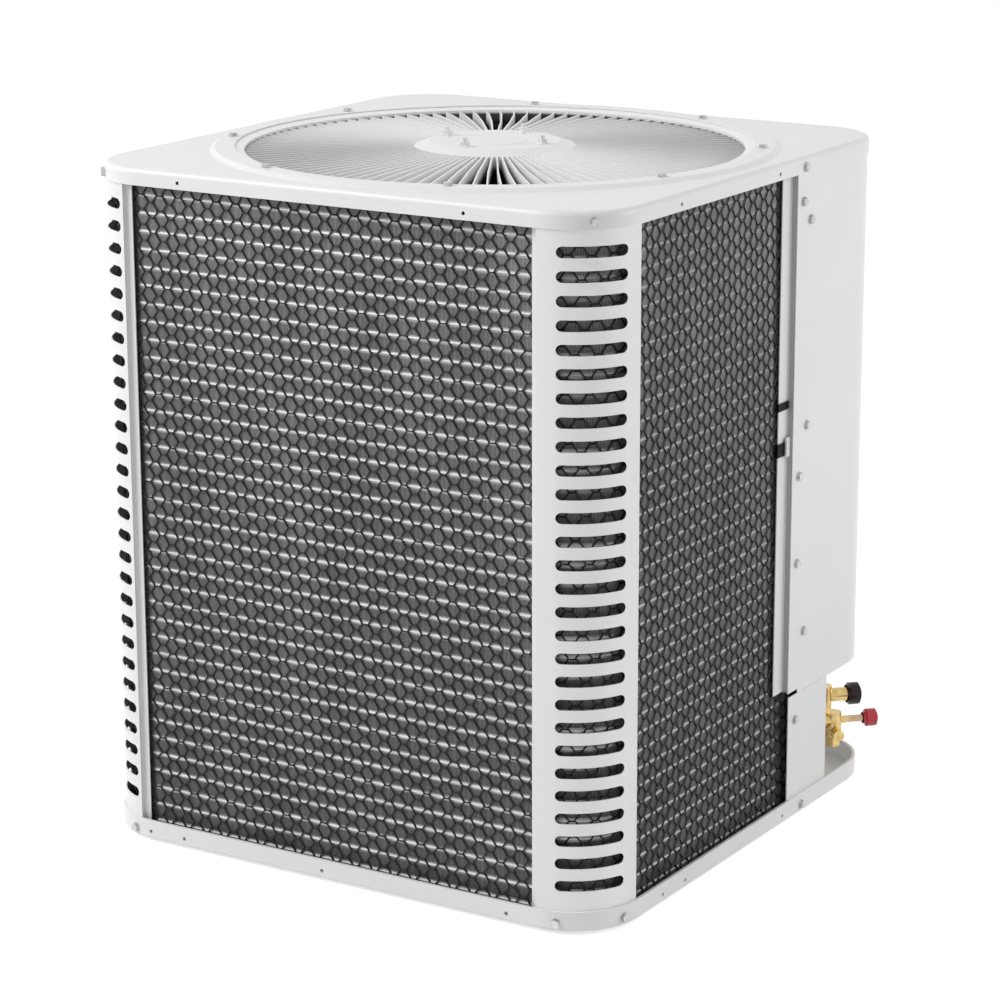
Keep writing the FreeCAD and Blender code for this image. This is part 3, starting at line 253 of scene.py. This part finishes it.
def shade_guard(material):
    """Paints shade into a finish below the tops of the vanes, and sooner on the round wall at their ends.
    """
    tree = material.node_tree
    reach = tree.nodes.new("ShaderNodeVectorMath")
    reach.operation = "LENGTH"
    flat = tree.nodes.new("ShaderNodeCombineXYZ")
    link_chain(tree, (along(tree, (1, 0, 0)), flat.inputs[0]), (along(tree, (0, 1, 0)), flat.inputs[1]),
               (flat.outputs[0], reach.inputs[0]))
    middle, half = (GUARD_HUB + GUARD_END) / 2, (GUARD_END - GUARD_HUB) / 2
    top = ranged(tree, reach.outputs["Value"], GUARD_TOP_INSIDE, GUARD_TOP_OUTSIDE, middle, half)
    below = combined(tree, "SUBTRACT", top, along(tree, (0, 0, 1)))
    centre, spread = (WHITE_DEPTH + DARK_DEPTH) / 2, (DARK_DEPTH - WHITE_DEPTH) / 2
    scale_colour(material, ranged(tree, below, 1.0, DARKEST, centre, spread))
    on_wall = ranged(tree, below, 0.0, 1.0 - DARKEST, WALL_DEPTH / 2, WALL_DEPTH / 2)
    at_wall = ranged(tree, reach.outputs["Value"], 0.0, 1.0, WALL_EDGE, WALL_FADE)
    lose_light(material, combined(tree, "MULTIPLY", on_wall, at_wall))


guard_paint = finish("guard_paint", (0.87, 0.873, 0.877), (0.90, 0.903, 0.906), PAINT_ROUGH,
                     relief=PAINT_RELIEF)
shade_guard(guard_paint)
print("guard paint shaded below", GUARD_TOP_OUTSIDE)

# %% [markdown]
# The wall beside the recessed strip at the service corner gets less light than the strip and
# the cover on either side of it, so shade is painted into its colour. It is part of the same
# solid, so it is found by its place.

# %% Paint of the strip beside the service cover
STRIP_FACE = 0.3094
GROOVE_EDGE, GROOVE_FADE = STRIP_FACE + 0.0006, 0.0004
GROOVE_SHARE = 0.50


def shade_groove(material):
    """Paints shade into a finish beyond the strip's face, on both sides of the service corner."""
    tree = material.node_tree
    outermost = combined(tree, "MAXIMUM", along(tree, (1, 0, 0)), along(tree, (0, 1, 0)))
    scale_colour(material, ranged(tree, outermost, 1.0, GROOVE_SHARE, GROOVE_EDGE, GROOVE_FADE))


groove_shade_paint = finish("groove_shade_paint", (0.78, 0.785, 0.79), (0.82, 0.823, 0.826), (0.36, 0.44),
                    relief=PAINT_RELIEF)
shade_groove(groove_shade_paint)
print("seam paint darker beyond", STRIP_FACE)

# %% [markdown]
# The real front post is as bright along the middle of its round as at its edges. Here that part
# faces between the two lamps and would look grey. A third lamp would also light the coil, so
# light is painted into the colour there instead: the paint is whiter along the middle of the round.

# %% Paint of the front post
POST_OUTWARD = (0.7071, -0.7071, 0)
ROUND_CENTRE, ROUND_SPREAD = 0.404, 0.0105
ROUND_PAINTED_LIGHT = (0.94, 0.943, 0.946)
post_painted_light = finish("post_painted_light", WHITE_DARK, WHITE_LIGHT, PAINT_ROUGH, relief=PAINT_RELIEF)
outward = along(post_painted_light.node_tree, POST_OUTWARD)
tint(post_painted_light, ranged(post_painted_light.node_tree, outward, 0.0, 1.0, ROUND_CENTRE, ROUND_SPREAD), ROUND_PAINTED_LIGHT)
print("post paint whitest", round(ROUND_CENTRE + ROUND_SPREAD, 4), "from the axis")

# %% [markdown]
# Bare metals differ mostly in colour, gloss and grain. Zinc plate and machined screws are grey,
# the pipes are drawn copper, and the valves are forged brass. The motor's studs have a paler
# plate. The liquid valve's outer end is tarnished to a reddish brown, which is a tint by place.

# %% Metals
SMALL_PARTS = {"patch": 260.0, "grain": 2400.0, "relief": 0.00002}
VALVE_OUTWARD = (0.7071, 0.7071, 0)
TARNISH_CENTRE, TARNISH_SPREAD = 0.412, 0.012
TARNISH_SHARE, TARNISH = 0.85, (0.36, 0.27, 0.26)
galvanised = finish("galvanised", (0.40, 0.41, 0.42), (0.58, 0.59, 0.60), (0.34, 0.52), metal=0.8,
                    patch=60.0)
screw_steel = finish("screw_steel", (0.38, 0.38, 0.38), (0.66, 0.66, 0.65), (0.22, 0.36), metal=0.9,
                     **SMALL_PARTS)
pale_zinc = finish("pale_zinc", (0.66, 0.66, 0.65), (0.82, 0.82, 0.81), (0.26, 0.40), metal=0.45,
                   **SMALL_PARTS)
fin_aluminium = finish("fin_aluminium", (0.42, 0.43, 0.44), (0.56, 0.57, 0.58), (0.36, 0.50), metal=0.85,
                       patch=40.0, stretch=(1, 1, 0.2))
copper = finish("copper", (0.50, 0.22, 0.12), (0.72, 0.38, 0.25), (0.26, 0.42), metal=1.0, patch=70.0)


def brass_finish(name):
    """Forged and turned brass, with small patches."""
    return finish(name, (0.56, 0.38, 0.13), (0.78, 0.60, 0.28), (0.16, 0.30), metal=0.92, patch=160.0,
                  grain=1800.0, relief=0.00003)


brass = brass_finish("brass")
tarnished_brass = brass_finish("tarnished_brass")
from_axis = along(tarnished_brass.node_tree, VALVE_OUTWARD)
tarnished = ranged(tarnished_brass.node_tree, from_axis, 0.0, TARNISH_SHARE, TARNISH_CENTRE, TARNISH_SPREAD)
tint(tarnished_brass, tarnished, TARNISH)
print("metals", galvanised.name, screw_steel.name, fin_aluminium.name, copper.name, brass.name)

# %% [markdown]
# The net and the small fittings are dull moulded plastic. The straps are blacker and reflect
# little, and the dust caps are smoother and get scuffed in patches. Rubber is dullest of all.

# %% Plastics and rubber
black_plastic = finish("black_plastic", (0.008, 0.008, 0.009), (0.018, 0.018, 0.020), (0.45, 0.62),
                       patch=80.0, specular=0.22)
strap_black = finish("strap_black", (0.003, 0.003, 0.004), (0.008, 0.008, 0.009), (0.30, 0.45),
                     patch=80.0, specular=0.06)
white_plastic = finish("white_plastic", (0.70, 0.70, 0.69), (0.78, 0.78, 0.77), (0.38, 0.50), patch=80.0)
red_plastic = finish("red_plastic", (0.50, 0.022, 0.035), (0.66, 0.05, 0.07), (0.20, 0.36), patch=160.0)
cap_black = finish("cap_black", (0.010, 0.003, 0.005), (0.020, 0.007, 0.010), (0.16, 0.30),
                   patch=160.0, specular=0.3)
rubber = finish("rubber", (0.014, 0.014, 0.014), (0.030, 0.030, 0.029), (0.62, 0.80), patch=120.0)
print("plastics ready")

# %% [markdown]
# The record names one finish slot for every solid. Looking the slot up there keeps the list
# in one place, where typing sixty names again would invite mistakes. A few solids take a
# finish of their own.

# %% Give every solid its finish
slot_finishes = {
    "white_paint": white_paint, "galvanised": galvanised, "screw_steel": screw_steel,
    "fin_aluminium": fin_aluminium, "black_paint": black_paint, "copper": copper, "brass": brass,
    "black_plastic": black_plastic, "white_plastic": white_plastic, "red_plastic": red_plastic,
    "rubber": rubber,
}
own_finishes = {
    "suction_dust_cap": cap_black, "fan_orifice": fan_painted_shade, "fan_blades": fan_painted_shade,
    "fan_spider": fan_painted_shade, "fan_guard": guard_paint, "service_post_right": groove_shade_paint,
    "service_post_back": groove_shade_paint, "corner_post_front": post_painted_light,
    "liquid_valve": tarnished_brass, "net_straps": strap_black, "motor_studs": pale_zinc,
    "motor_nuts": pale_zinc,
}


def node_slots():
    """The record's finish slot of every solid."""
    return {part["node"]: part["material_slot"] for part in frame["record"]["subparts"]}


def give_finish(piece, material):
    """One material on the whole piece."""
    piece.data.materials.clear()
    piece.data.materials.append(material)


for node, slot in node_slots().items():
    give_finish(frame["nodes"][node], own_finishes.get(node, slot_finishes[slot]))
print("finished", len(node_slots()), "solids")

# %% [markdown]
# The fins, the tubes and the net all follow one line round three corners of the cabinet, and
# stop at the service corner. Each is made flat and straight first, and a curve modifier then
# wraps it round that line, as the real coil is bent from a flat slab on a mandrel.

# %% The line round the cabinet
CORNER = 0.2425
COIL_END = 0.150
NET_INSET = 0.0009
FINE_STEPS, TUBE_STEPS = 16, 8
COIL_LOW, COIL_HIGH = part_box("coil_fins")[0].z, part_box("coil_fins")[1].z
NET_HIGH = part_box("coil_net")[1].z
NET_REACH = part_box("coil_net")[1].y - NET_INSET
COIL_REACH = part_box("coil_fins")[1].y


def wrap_line(name, reach, steps):
    """A flat curve at one distance from the axis, from the right side's far end round the front."""
    radius = reach - CORNER
    points = [(reach, COIL_END)]
    corners = ((CORNER, -CORNER, 0), (-CORNER, -CORNER, -90), (-CORNER, CORNER, -180))
    for centre_x, centre_y, start in corners:
        for step in range(steps + 1):
            angle = math.radians(start - 90 * step / steps)
            points.append((centre_x + radius * math.cos(angle), centre_y + radius * math.sin(angle)))
    points.append((COIL_END, reach))
    line = bpy.data.curves.new(name, "CURVE")
    line.dimensions = "2D"
    spline = line.splines.new("POLY")
    spline.points.add(len(points) - 1)
    for point, (x, y) in zip(spline.points, points):
        point.co = (x, y, 0.0, 1.0)
    path = bpy.data.objects.new(name, line)
    bpy.context.scene.collection.objects.link(path)
    return path


def line_length(reach):
    """Two whole sides, two sides that end early, and three quarter rounds."""
    straight = 2 * (2 * CORNER) + 2 * (CORNER + COIL_END)
    return straight + 3 * math.pi / 2 * (reach - CORNER)


print("net reach", round(NET_REACH, 4), "coil reach", round(COIL_REACH, 4))
print("coil length", round(line_length(COIL_REACH), 3))

# %% [markdown]
# Modelling tools act on what is selected, and the frame leaves its solids selected. So every
# piece starts by deselecting everything, and these short helpers name the steps that all the
# pieces share: start, repeat, apply and finish.

# %% Helpers for modelling
def only(piece):
    """Selects one object and nothing else."""
    bpy.ops.object.select_all(action="DESELECT")
    piece.select_set(True)
    bpy.context.view_layer.objects.active = piece


def start_piece(name):
    """The primitive that was just added, named, with its place put in its mesh."""
    piece = bpy.context.object
    piece.name = name
    bpy.ops.object.transform_apply(location=True, rotation=True, scale=True)
    return piece


def repeat(piece, count, step):
    """Copies in a row, each a given step from the last."""
    only(piece)
    row = piece.modifiers.new("row", "ARRAY")
    row.count = count
    row.use_relative_offset = False
    row.use_constant_offset = True
    row.constant_offset_displace = step
    bpy.ops.object.modifier_apply(modifier=row.name)


def wrap(piece, path):
    """Bends a flat piece round a line in the floor plane."""
    only(piece)
    bend = piece.modifiers.new("wrap", "CURVE")
    bend.object = path
    bend.deform_axis = "POS_X"
    bpy.ops.object.modifier_apply(modifier=bend.name)


def drop_beyond(piece, place, normal):
    """Cuts the mesh at a plane and drops what lies on the side that the normal points to."""
    only(piece)
    bpy.ops.object.mode_set(mode="EDIT")
    bpy.ops.mesh.select_all(action="SELECT")
    bpy.ops.mesh.bisect(plane_co=place, plane_no=normal, clear_outer=True)
    bpy.ops.object.mode_set(mode="OBJECT")


def discard(piece):
    """Takes a helper object away."""
    bpy.data.objects.remove(piece)


def report(piece):
    """Prints a piece's triangles and its box."""
    piece.data.calc_loop_triangles()
    corners = [Vector(corner) for corner in piece.bound_box]
    low = [round(min(c[i] for c in corners), 4) for i in range(3)]
    high = [round(max(c[i] for c in corners), 4) for i in range(3)]
    print(piece.name, len(piece.data.loop_triangles), "triangles", low, high)


# %% [markdown]
# The fins are thin aluminium plates that stand upright side by side, with the tubes pushed
# through them. A striped bump on a flat wall would do from afar, but modelled plates darken
# between each other as the real ones do, so one plate is made and repeated round the coil. They
# are set a little back, so that the tubes show. Light is painted into their colour, which grows
# lighter upwards. Shade is also painted into it behind the posts on the left and beside the
# service strip, where little light gets in.

# %% Coil fins
FIN_PITCH = 0.0015
FIN_THICKNESS = 0.00055
FIN_DEPTH = 0.018
FIN_SETBACK = 0.0006
COIL_MIDDLE, COIL_HALF = (COIL_LOW + COIL_HIGH) / 2, (COIL_HIGH - COIL_LOW) / 2
FIN_LOW_SHARE, FIN_HIGH_SHARE = 0.85, 1.45
HIDDEN_LOSS, HIDDEN_FADE = 0.78, 0.003
BEND_EDGE, STRIP_EDGE = CORNER + 0.002, 0.0635
STRIP_LOW, STRIP_LOW_FADE = 0.150, 0.004
LEFT_FADE = 0.1


def fin_row(name, reach):
    """One plate, repeated in a straight row and wrapped round the cabinet."""
    bpy.ops.object.select_all(action="DESELECT")
    bpy.ops.mesh.primitive_cube_add(size=1.0, location=(FIN_PITCH / 2, -FIN_DEPTH / 2, COIL_MIDDLE),
                                    scale=(FIN_THICKNESS, FIN_DEPTH, 2 * COIL_HALF))
    fins = start_piece(name)
    repeat(fins, int(line_length(reach) / FIN_PITCH), (FIN_PITCH, 0.0, 0.0))
    path = wrap_line("fin_line", reach, FINE_STEPS)
    wrap(fins, path)
    discard(path)
    return fins


def shade_coil_ends(material):
    """Paints shade into a finish round the bends on the left, and beside the service strip."""
    tree = material.node_tree
    across, back, height = (along(tree, way) for way in ((1, 0, 0), (0, 1, 0), (0, 0, 1)))
    near_bend = combined(tree, "MINIMUM", size_of(tree, across), size_of(tree, back))
    bends = ranged(tree, near_bend, 0.0, HIDDEN_LOSS, BEND_EDGE, HIDDEN_FADE)
    left = ranged(tree, across, 1.0, 0.0, 0.0, LEFT_FADE)
    lose_light(material, combined(tree, "MULTIPLY", left, bends))
    near_strip = combined(tree, "MINIMUM", across, back)
    beside = ranged(tree, near_strip, 0.0, HIDDEN_LOSS, STRIP_EDGE, HIDDEN_FADE)
    above = ranged(tree, height, 0.0, 1.0, STRIP_LOW, STRIP_LOW_FADE)
    lose_light(material, combined(tree, "MULTIPLY", beside, above))


coil_fins = fin_row("coil_fin_plates", COIL_REACH - FIN_SETBACK)
fin_metal = finish("fin_metal", (0.17, 0.172, 0.176), (0.32, 0.322, 0.326), (0.42, 0.60), metal=0.35,
                   patch=14.0, grain=260.0, relief=0.0002, stretch=(1, 1, 0.25))
shade_coil_ends(fin_metal)
# Painted light: the fins' colour grows lighter upwards.
grade(fin_metal, (0, 0, 1), FIN_LOW_SHARE, FIN_HIGH_SHARE, COIL_MIDDLE, COIL_HALF)
give_finish(coil_fins, fin_metal)
report(coil_fins)

# %% [markdown]
# Each row of tube runs round the whole coil at one height. A curve with a round section makes
# one row, which is turned into a mesh and copied upwards. The lamps stand high, and would make
# the upper rows and those of the right side too bright, so shade is painted into the metal's
# colour, graded both ways. The same painted shade as on the fins lies round the bends on the
# left and beside the service strip.

# %% Coil tubes
TUBE_RADIUS = 0.00476
TUBE_PITCH = 0.01905
TUBE_ROWS = round((COIL_HIGH - COIL_LOW) / TUBE_PITCH)
SMOOTH_ANGLE = math.radians(40)
TUBE_LOW_SHARE, TUBE_HIGH_SHARE = 1.05, 0.62
RIGHT_SHARE, RIGHT_EDGE, RIGHT_FADE = 0.6, COIL_REACH - 0.02, 0.01


def tube_rows(name):
    """One row as a curve with a round section, made a mesh and copied upwards."""
    path = wrap_line(name, COIL_REACH - TUBE_RADIUS, TUBE_STEPS)
    path.data.dimensions = "3D"
    path.data.bevel_depth = TUBE_RADIUS
    path.data.bevel_resolution = 2
    path.data.use_fill_caps = True
    only(path)
    bpy.ops.object.convert(target="MESH")
    rows = bpy.context.object
    rows.data.transform(Matrix.Translation((0.0, 0.0, COIL_LOW + TUBE_PITCH / 2)))
    repeat(rows, TUBE_ROWS, (0.0, 0.0, TUBE_PITCH))
    bpy.ops.object.shade_smooth_by_angle(angle=SMOOTH_ANGLE)
    return rows


coil_tubes = tube_rows("coil_tubes")
tube_metal = finish("tube_metal", (0.42, 0.425, 0.43), (0.58, 0.585, 0.59), (0.36, 0.50), metal=0.8,
                    patch=45.0)
shade_coil_ends(tube_metal)
# Painted shade: the tubes' colour grows darker upwards and on the right side.
grade(tube_metal, (0, 0, 1), TUBE_LOW_SHARE, TUBE_HIGH_SHARE, COIL_MIDDLE, COIL_HALF)
grade(tube_metal, (1, 0, 0), 1.0, RIGHT_SHARE, RIGHT_EDGE, RIGHT_FADE)
give_finish(coil_tubes, tube_metal)
report(coil_tubes)

# %% [markdown]
# The net is moulded black plastic with flat-topped six-sided cells. A whole cell could be
# given thickness with a wireframe, but shared strands would come out double. So a cell's own
# three strands are made as three-sided rods, and repeated along the two steps of the pattern.
# The rows drift a little sideways, as the net does where it was pulled tight, and a cloud
# pattern pushes the points up and down, so that no two cells are quite alike.

# %% Net
CELL_SPACING = 0.0121
CELL_HEIGHT = 0.0162
ROW_DRIFT = 0.0012
STRAND = 0.00095
FLAT_SHARE = 0.26
WANDER, CLOUD_SIZE = 0.0024, 0.03
NET_END_GAP = 0.001


def strand(start, end):
    """A thin rod without ends between two points of the upright plane."""
    run = Vector((end[0] - start[0], 0.0, end[1] - start[1]))
    tilt = run.to_track_quat("Z", "Y").to_euler()
    middle = ((start[0] + end[0]) / 2, 0.0, (start[1] + end[1]) / 2)
    bpy.ops.mesh.primitive_cylinder_add(vertices=3, radius=STRAND, depth=run.length,
                                        end_fill_type="NOTHING", location=middle, rotation=tilt)
    return start_piece("strand")


def net_cell(name):
    """The top and the two left strands of a cell."""
    flat, reach = CELL_SPACING * FLAT_SHARE, CELL_SPACING * (1 - FLAT_SHARE)
    top_left = (-flat, CELL_HEIGHT / 2)
    top_right = (flat, CELL_HEIGHT / 2)
    left = (-reach, 0.0)
    low_left = (-flat, -CELL_HEIGHT / 2)
    strands = [strand(top_left, top_right), strand(left, top_left), strand(left, low_left)]
    bpy.ops.object.select_all(action="DESELECT")
    for piece in strands:
        piece.select_set(True)
    bpy.ops.object.join()
    cell = bpy.context.object
    cell.name = name
    return cell


def wander(piece, texture, amount, way):
    """Pushes points a little to and fro, by a cloud pattern."""
    only(piece)
    push = piece.modifiers.new("wander", "DISPLACE")
    push.texture = texture
    push.direction = way
    push.strength = amount
    push.mid_level = 0.5
    push.texture_coords = "LOCAL"
    bpy.ops.object.modifier_apply(modifier=push.name)


def net_round_coil(name):
    """The cell repeated three ways, cut to the net's edges and wrapped round the cabinet."""
    net = net_cell(name)
    rows = int((NET_HIGH - COIL_LOW) / CELL_HEIGHT) + 3
    columns = int((line_length(NET_REACH) + rows * ROW_DRIFT) / CELL_SPACING / 2) + 2
    repeat(net, 2, (CELL_SPACING, 0.0, CELL_HEIGHT / 2))
    repeat(net, columns, (2 * CELL_SPACING, 0.0, 0.0))
    repeat(net, rows, (ROW_DRIFT, 0.0, CELL_HEIGHT))
    net.data.transform(Matrix.Translation((-rows * ROW_DRIFT, 0.0, COIL_LOW - CELL_HEIGHT)))
    clouds = bpy.data.textures.new("net_clouds", "CLOUDS")
    clouds.noise_scale = CLOUD_SIZE
    wander(net, clouds, WANDER, "Z")
    drop_beyond(net, (NET_END_GAP, 0, 0), (-1, 0, 0))
    drop_beyond(net, (line_length(NET_REACH) - NET_END_GAP, 0, 0), (1, 0, 0))
    drop_beyond(net, (0, 0, COIL_LOW), (0, 0, -1))
    drop_beyond(net, (0, 0, NET_HIGH), (0, 0, 1))
    path = wrap_line("net_line", NET_REACH, FINE_STEPS)
    wrap(net, path)
    discard(path)
    return net


coil_netting = net_round_coil("coil_netting")
give_finish(coil_netting, black_plastic)
report(coil_netting)

# %% [markdown]
# The dust caps are soft plastic and have round ends, which the plain solids lack. Each is a
# cylinder along the upright axis, rounded at one end and hollowed from the other, and then
# laid along the line that leaves the service corner.

# %% Dust caps
OUTWARD, SIDEWAYS = Vector((1, 1, 0)).normalized(), Vector((-1, 1, 0)).normalized()
UP = Vector((0, 0, 1))
CAP_SIDES, ROUND_STEPS, LIP_STEPS = 64, 8, 2
FLAT_END = 0.9
END_ROUND, LIP_ROUND, HOLLOW_DEPTH = 0.42, 0.06, 0.75


def pick_end(piece, way):
    """Goes into edit mode with one flat end selected."""
    only(piece)
    bpy.ops.object.mode_set(mode="EDIT")
    bpy.ops.mesh.select_mode(type="FACE")
    bpy.ops.mesh.select_all(action="DESELECT")
    bpy.ops.object.mode_set(mode="OBJECT")
    for polygon in piece.data.polygons:
        polygon.select = polygon.normal.z * way > FLAT_END
    bpy.ops.object.mode_set(mode="EDIT")


def dust_cap(name, side, height, radius, bore, mouth, end):
    """A blind cap with a round end, its mouth and end at two distances from the fan's axis."""
    bpy.ops.object.select_all(action="DESELECT")
    bpy.ops.mesh.primitive_cylinder_add(vertices=CAP_SIDES, radius=radius, depth=end - mouth,
                                        location=(0, 0, (mouth + end) / 2))
    cap = start_piece(name)
    pick_end(cap, 1)
    bpy.ops.mesh.bevel(offset=radius * END_ROUND, segments=ROUND_STEPS, affect="EDGES")
    bpy.ops.object.mode_set(mode="OBJECT")
    pick_end(cap, -1)
    bpy.ops.mesh.bevel(offset=radius * LIP_ROUND, segments=LIP_STEPS, affect="EDGES")
    bpy.ops.mesh.inset(thickness=radius * (1 - LIP_ROUND) - bore)
    inwards = (0, 0, (end - mouth) * HOLLOW_DEPTH)
    bpy.ops.mesh.extrude_region_move(TRANSFORM_OT_translate={"value": inwards})
    bpy.ops.object.mode_set(mode="OBJECT")
    bpy.ops.object.shade_smooth_by_angle(angle=SMOOTH_ANGLE)
    axes = Matrix((SIDEWAYS, UP, OUTWARD)).transposed().to_4x4()
    cap.data.transform(Matrix.Translation(SIDEWAYS * side + UP * height) @ axes)
    return cap


suction_cap = dust_cap("suction_cap_moulding", side=0.025, height=0.080, radius=0.0112, bore=0.0080,
                       mouth=0.4225, end=0.4376)
liquid_cap = dust_cap("liquid_cap_moulding", side=-0.025, height=0.067, radius=0.0076, bore=0.0040,
                      mouth=0.4260, end=0.4408)
for cap, material, body, slot in ((suction_cap, cap_black, "suction_dust_cap", "black_plastic"),
                                  (liquid_cap, red_plastic, "liquid_dust_cap", "red_plastic")):
    give_finish(cap, material)
    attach(cap, body)
    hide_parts(body)
    report(cap)

# %% [markdown]
# The new pieces ride on the same body as the solids that they stand for. The solid wall of
# the coil and the plain skin of the net are then hidden, and stay only for collisions.

# %% Put the coil on the cabinet
for piece, slot in ((coil_fins, "fin_aluminium"), (coil_tubes, "fin_aluminium"),
                    (coil_netting, "black_plastic")):
    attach(piece, "cabinet")
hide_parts("coil_fins")
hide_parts("coil_fins")
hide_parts("coil_net")
print("coil and net ride on the cabinet")

# %% [markdown]
# The floor is a plain pale sheet. To make it read as white without more light on the object,
# it adds some white for rays that see it directly, so the soft shadow under the unit stays. The
# sky does the same, and lights the object at less than the white that the camera sees.

# %% Floor and background
FLOOR_SIZE, FLOOR_LEVEL, FLOOR_GLOW = 80.0, -0.0002, 0.60
SKY_STRENGTH = 0.42


def sees_directly(tree):
    """One where a ray comes from the camera, a mirror or clear glass, and nought elsewhere."""
    rays = tree.nodes.new("ShaderNodeLightPath").outputs
    mirrored = combined(tree, "MAXIMUM", rays["Is Camera Ray"], rays["Is Glossy Ray"])
    return combined(tree, "MAXIMUM", mirrored, rays["Is Transmission Ray"])


def make_floor():
    """A wide pale sheet just under the feet."""
    bpy.ops.object.select_all(action="DESELECT")
    bpy.ops.mesh.primitive_plane_add(size=FLOOR_SIZE, location=(0.0, 0.0, FLOOR_LEVEL))
    floor = start_piece("floor")
    material = finish("floor_paper", (0.86, 0.86, 0.86), (0.88, 0.88, 0.88), (0.85, 0.95), patch=2.0,
                      specular=0.1)
    tree = material.node_tree
    glow = tree.nodes.new("ShaderNodeEmission")
    glow.inputs["Strength"].default_value = 0.0
    both = tree.nodes.new("ShaderNodeAddShader")
    share = ranged(tree, sees_directly(tree), 0.0, FLOOR_GLOW, 0.5, 0.5)
    link_chain(tree, (share, glow.inputs["Strength"]), (glow.outputs[0], both.inputs[1]),
               (tree.nodes["Principled BSDF"].outputs[0], both.inputs[0]),
               (both.outputs[0], tree.nodes["Material Output"].inputs["Surface"]))
    give_finish(floor, material)


def make_sky():
    """White for what sees it directly, and dimmer as a light."""
    world = bpy.data.worlds.new("studio")
    bpy.context.scene.world = world
    world.use_nodes = True
    tree = world.node_tree
    background = tree.nodes["Background"]
    background.inputs["Color"].default_value = (1.0, 1.0, 1.0, 1.0)
    strength = ranged(tree, sees_directly(tree), SKY_STRENGTH, 1.0, 0.5, 0.5)
    tree.links.new(strength, background.inputs["Strength"])


make_floor()
make_sky()
print("floor and sky ready")

# %% [markdown]
# Two large soft lamps shape the cabinet: a key light from the front left above, and a weaker
# one from the right. Small lamps would throw hard shadows, which the photograph has none of.

# %% Lamps
LAMP_AIM = (0.0, 0.0, 0.45)


def soft_lamp(name, place, size, power):
    """A square lamp that faces the middle of the cabinet, its size in metres, its power in watts."""
    data = bpy.data.lights.new(name, "AREA")
    data.shape = "SQUARE"
    data.size = size
    data.energy = power
    lamp = bpy.data.objects.new(name, data)
    bpy.context.scene.collection.objects.link(lamp)
    lamp.location = place
    lamp.rotation_euler = (Vector(LAMP_AIM) - Vector(place)).to_track_quat("-Z", "Y").to_euler()


soft_lamp("key_light", place=(-2.2, -2.3, 3.1), size=2.2, power=108.0)
soft_lamp("side_light", place=(2.9, 1.5, 1.6), size=2.0, power=38.0)
print("lamps ready")
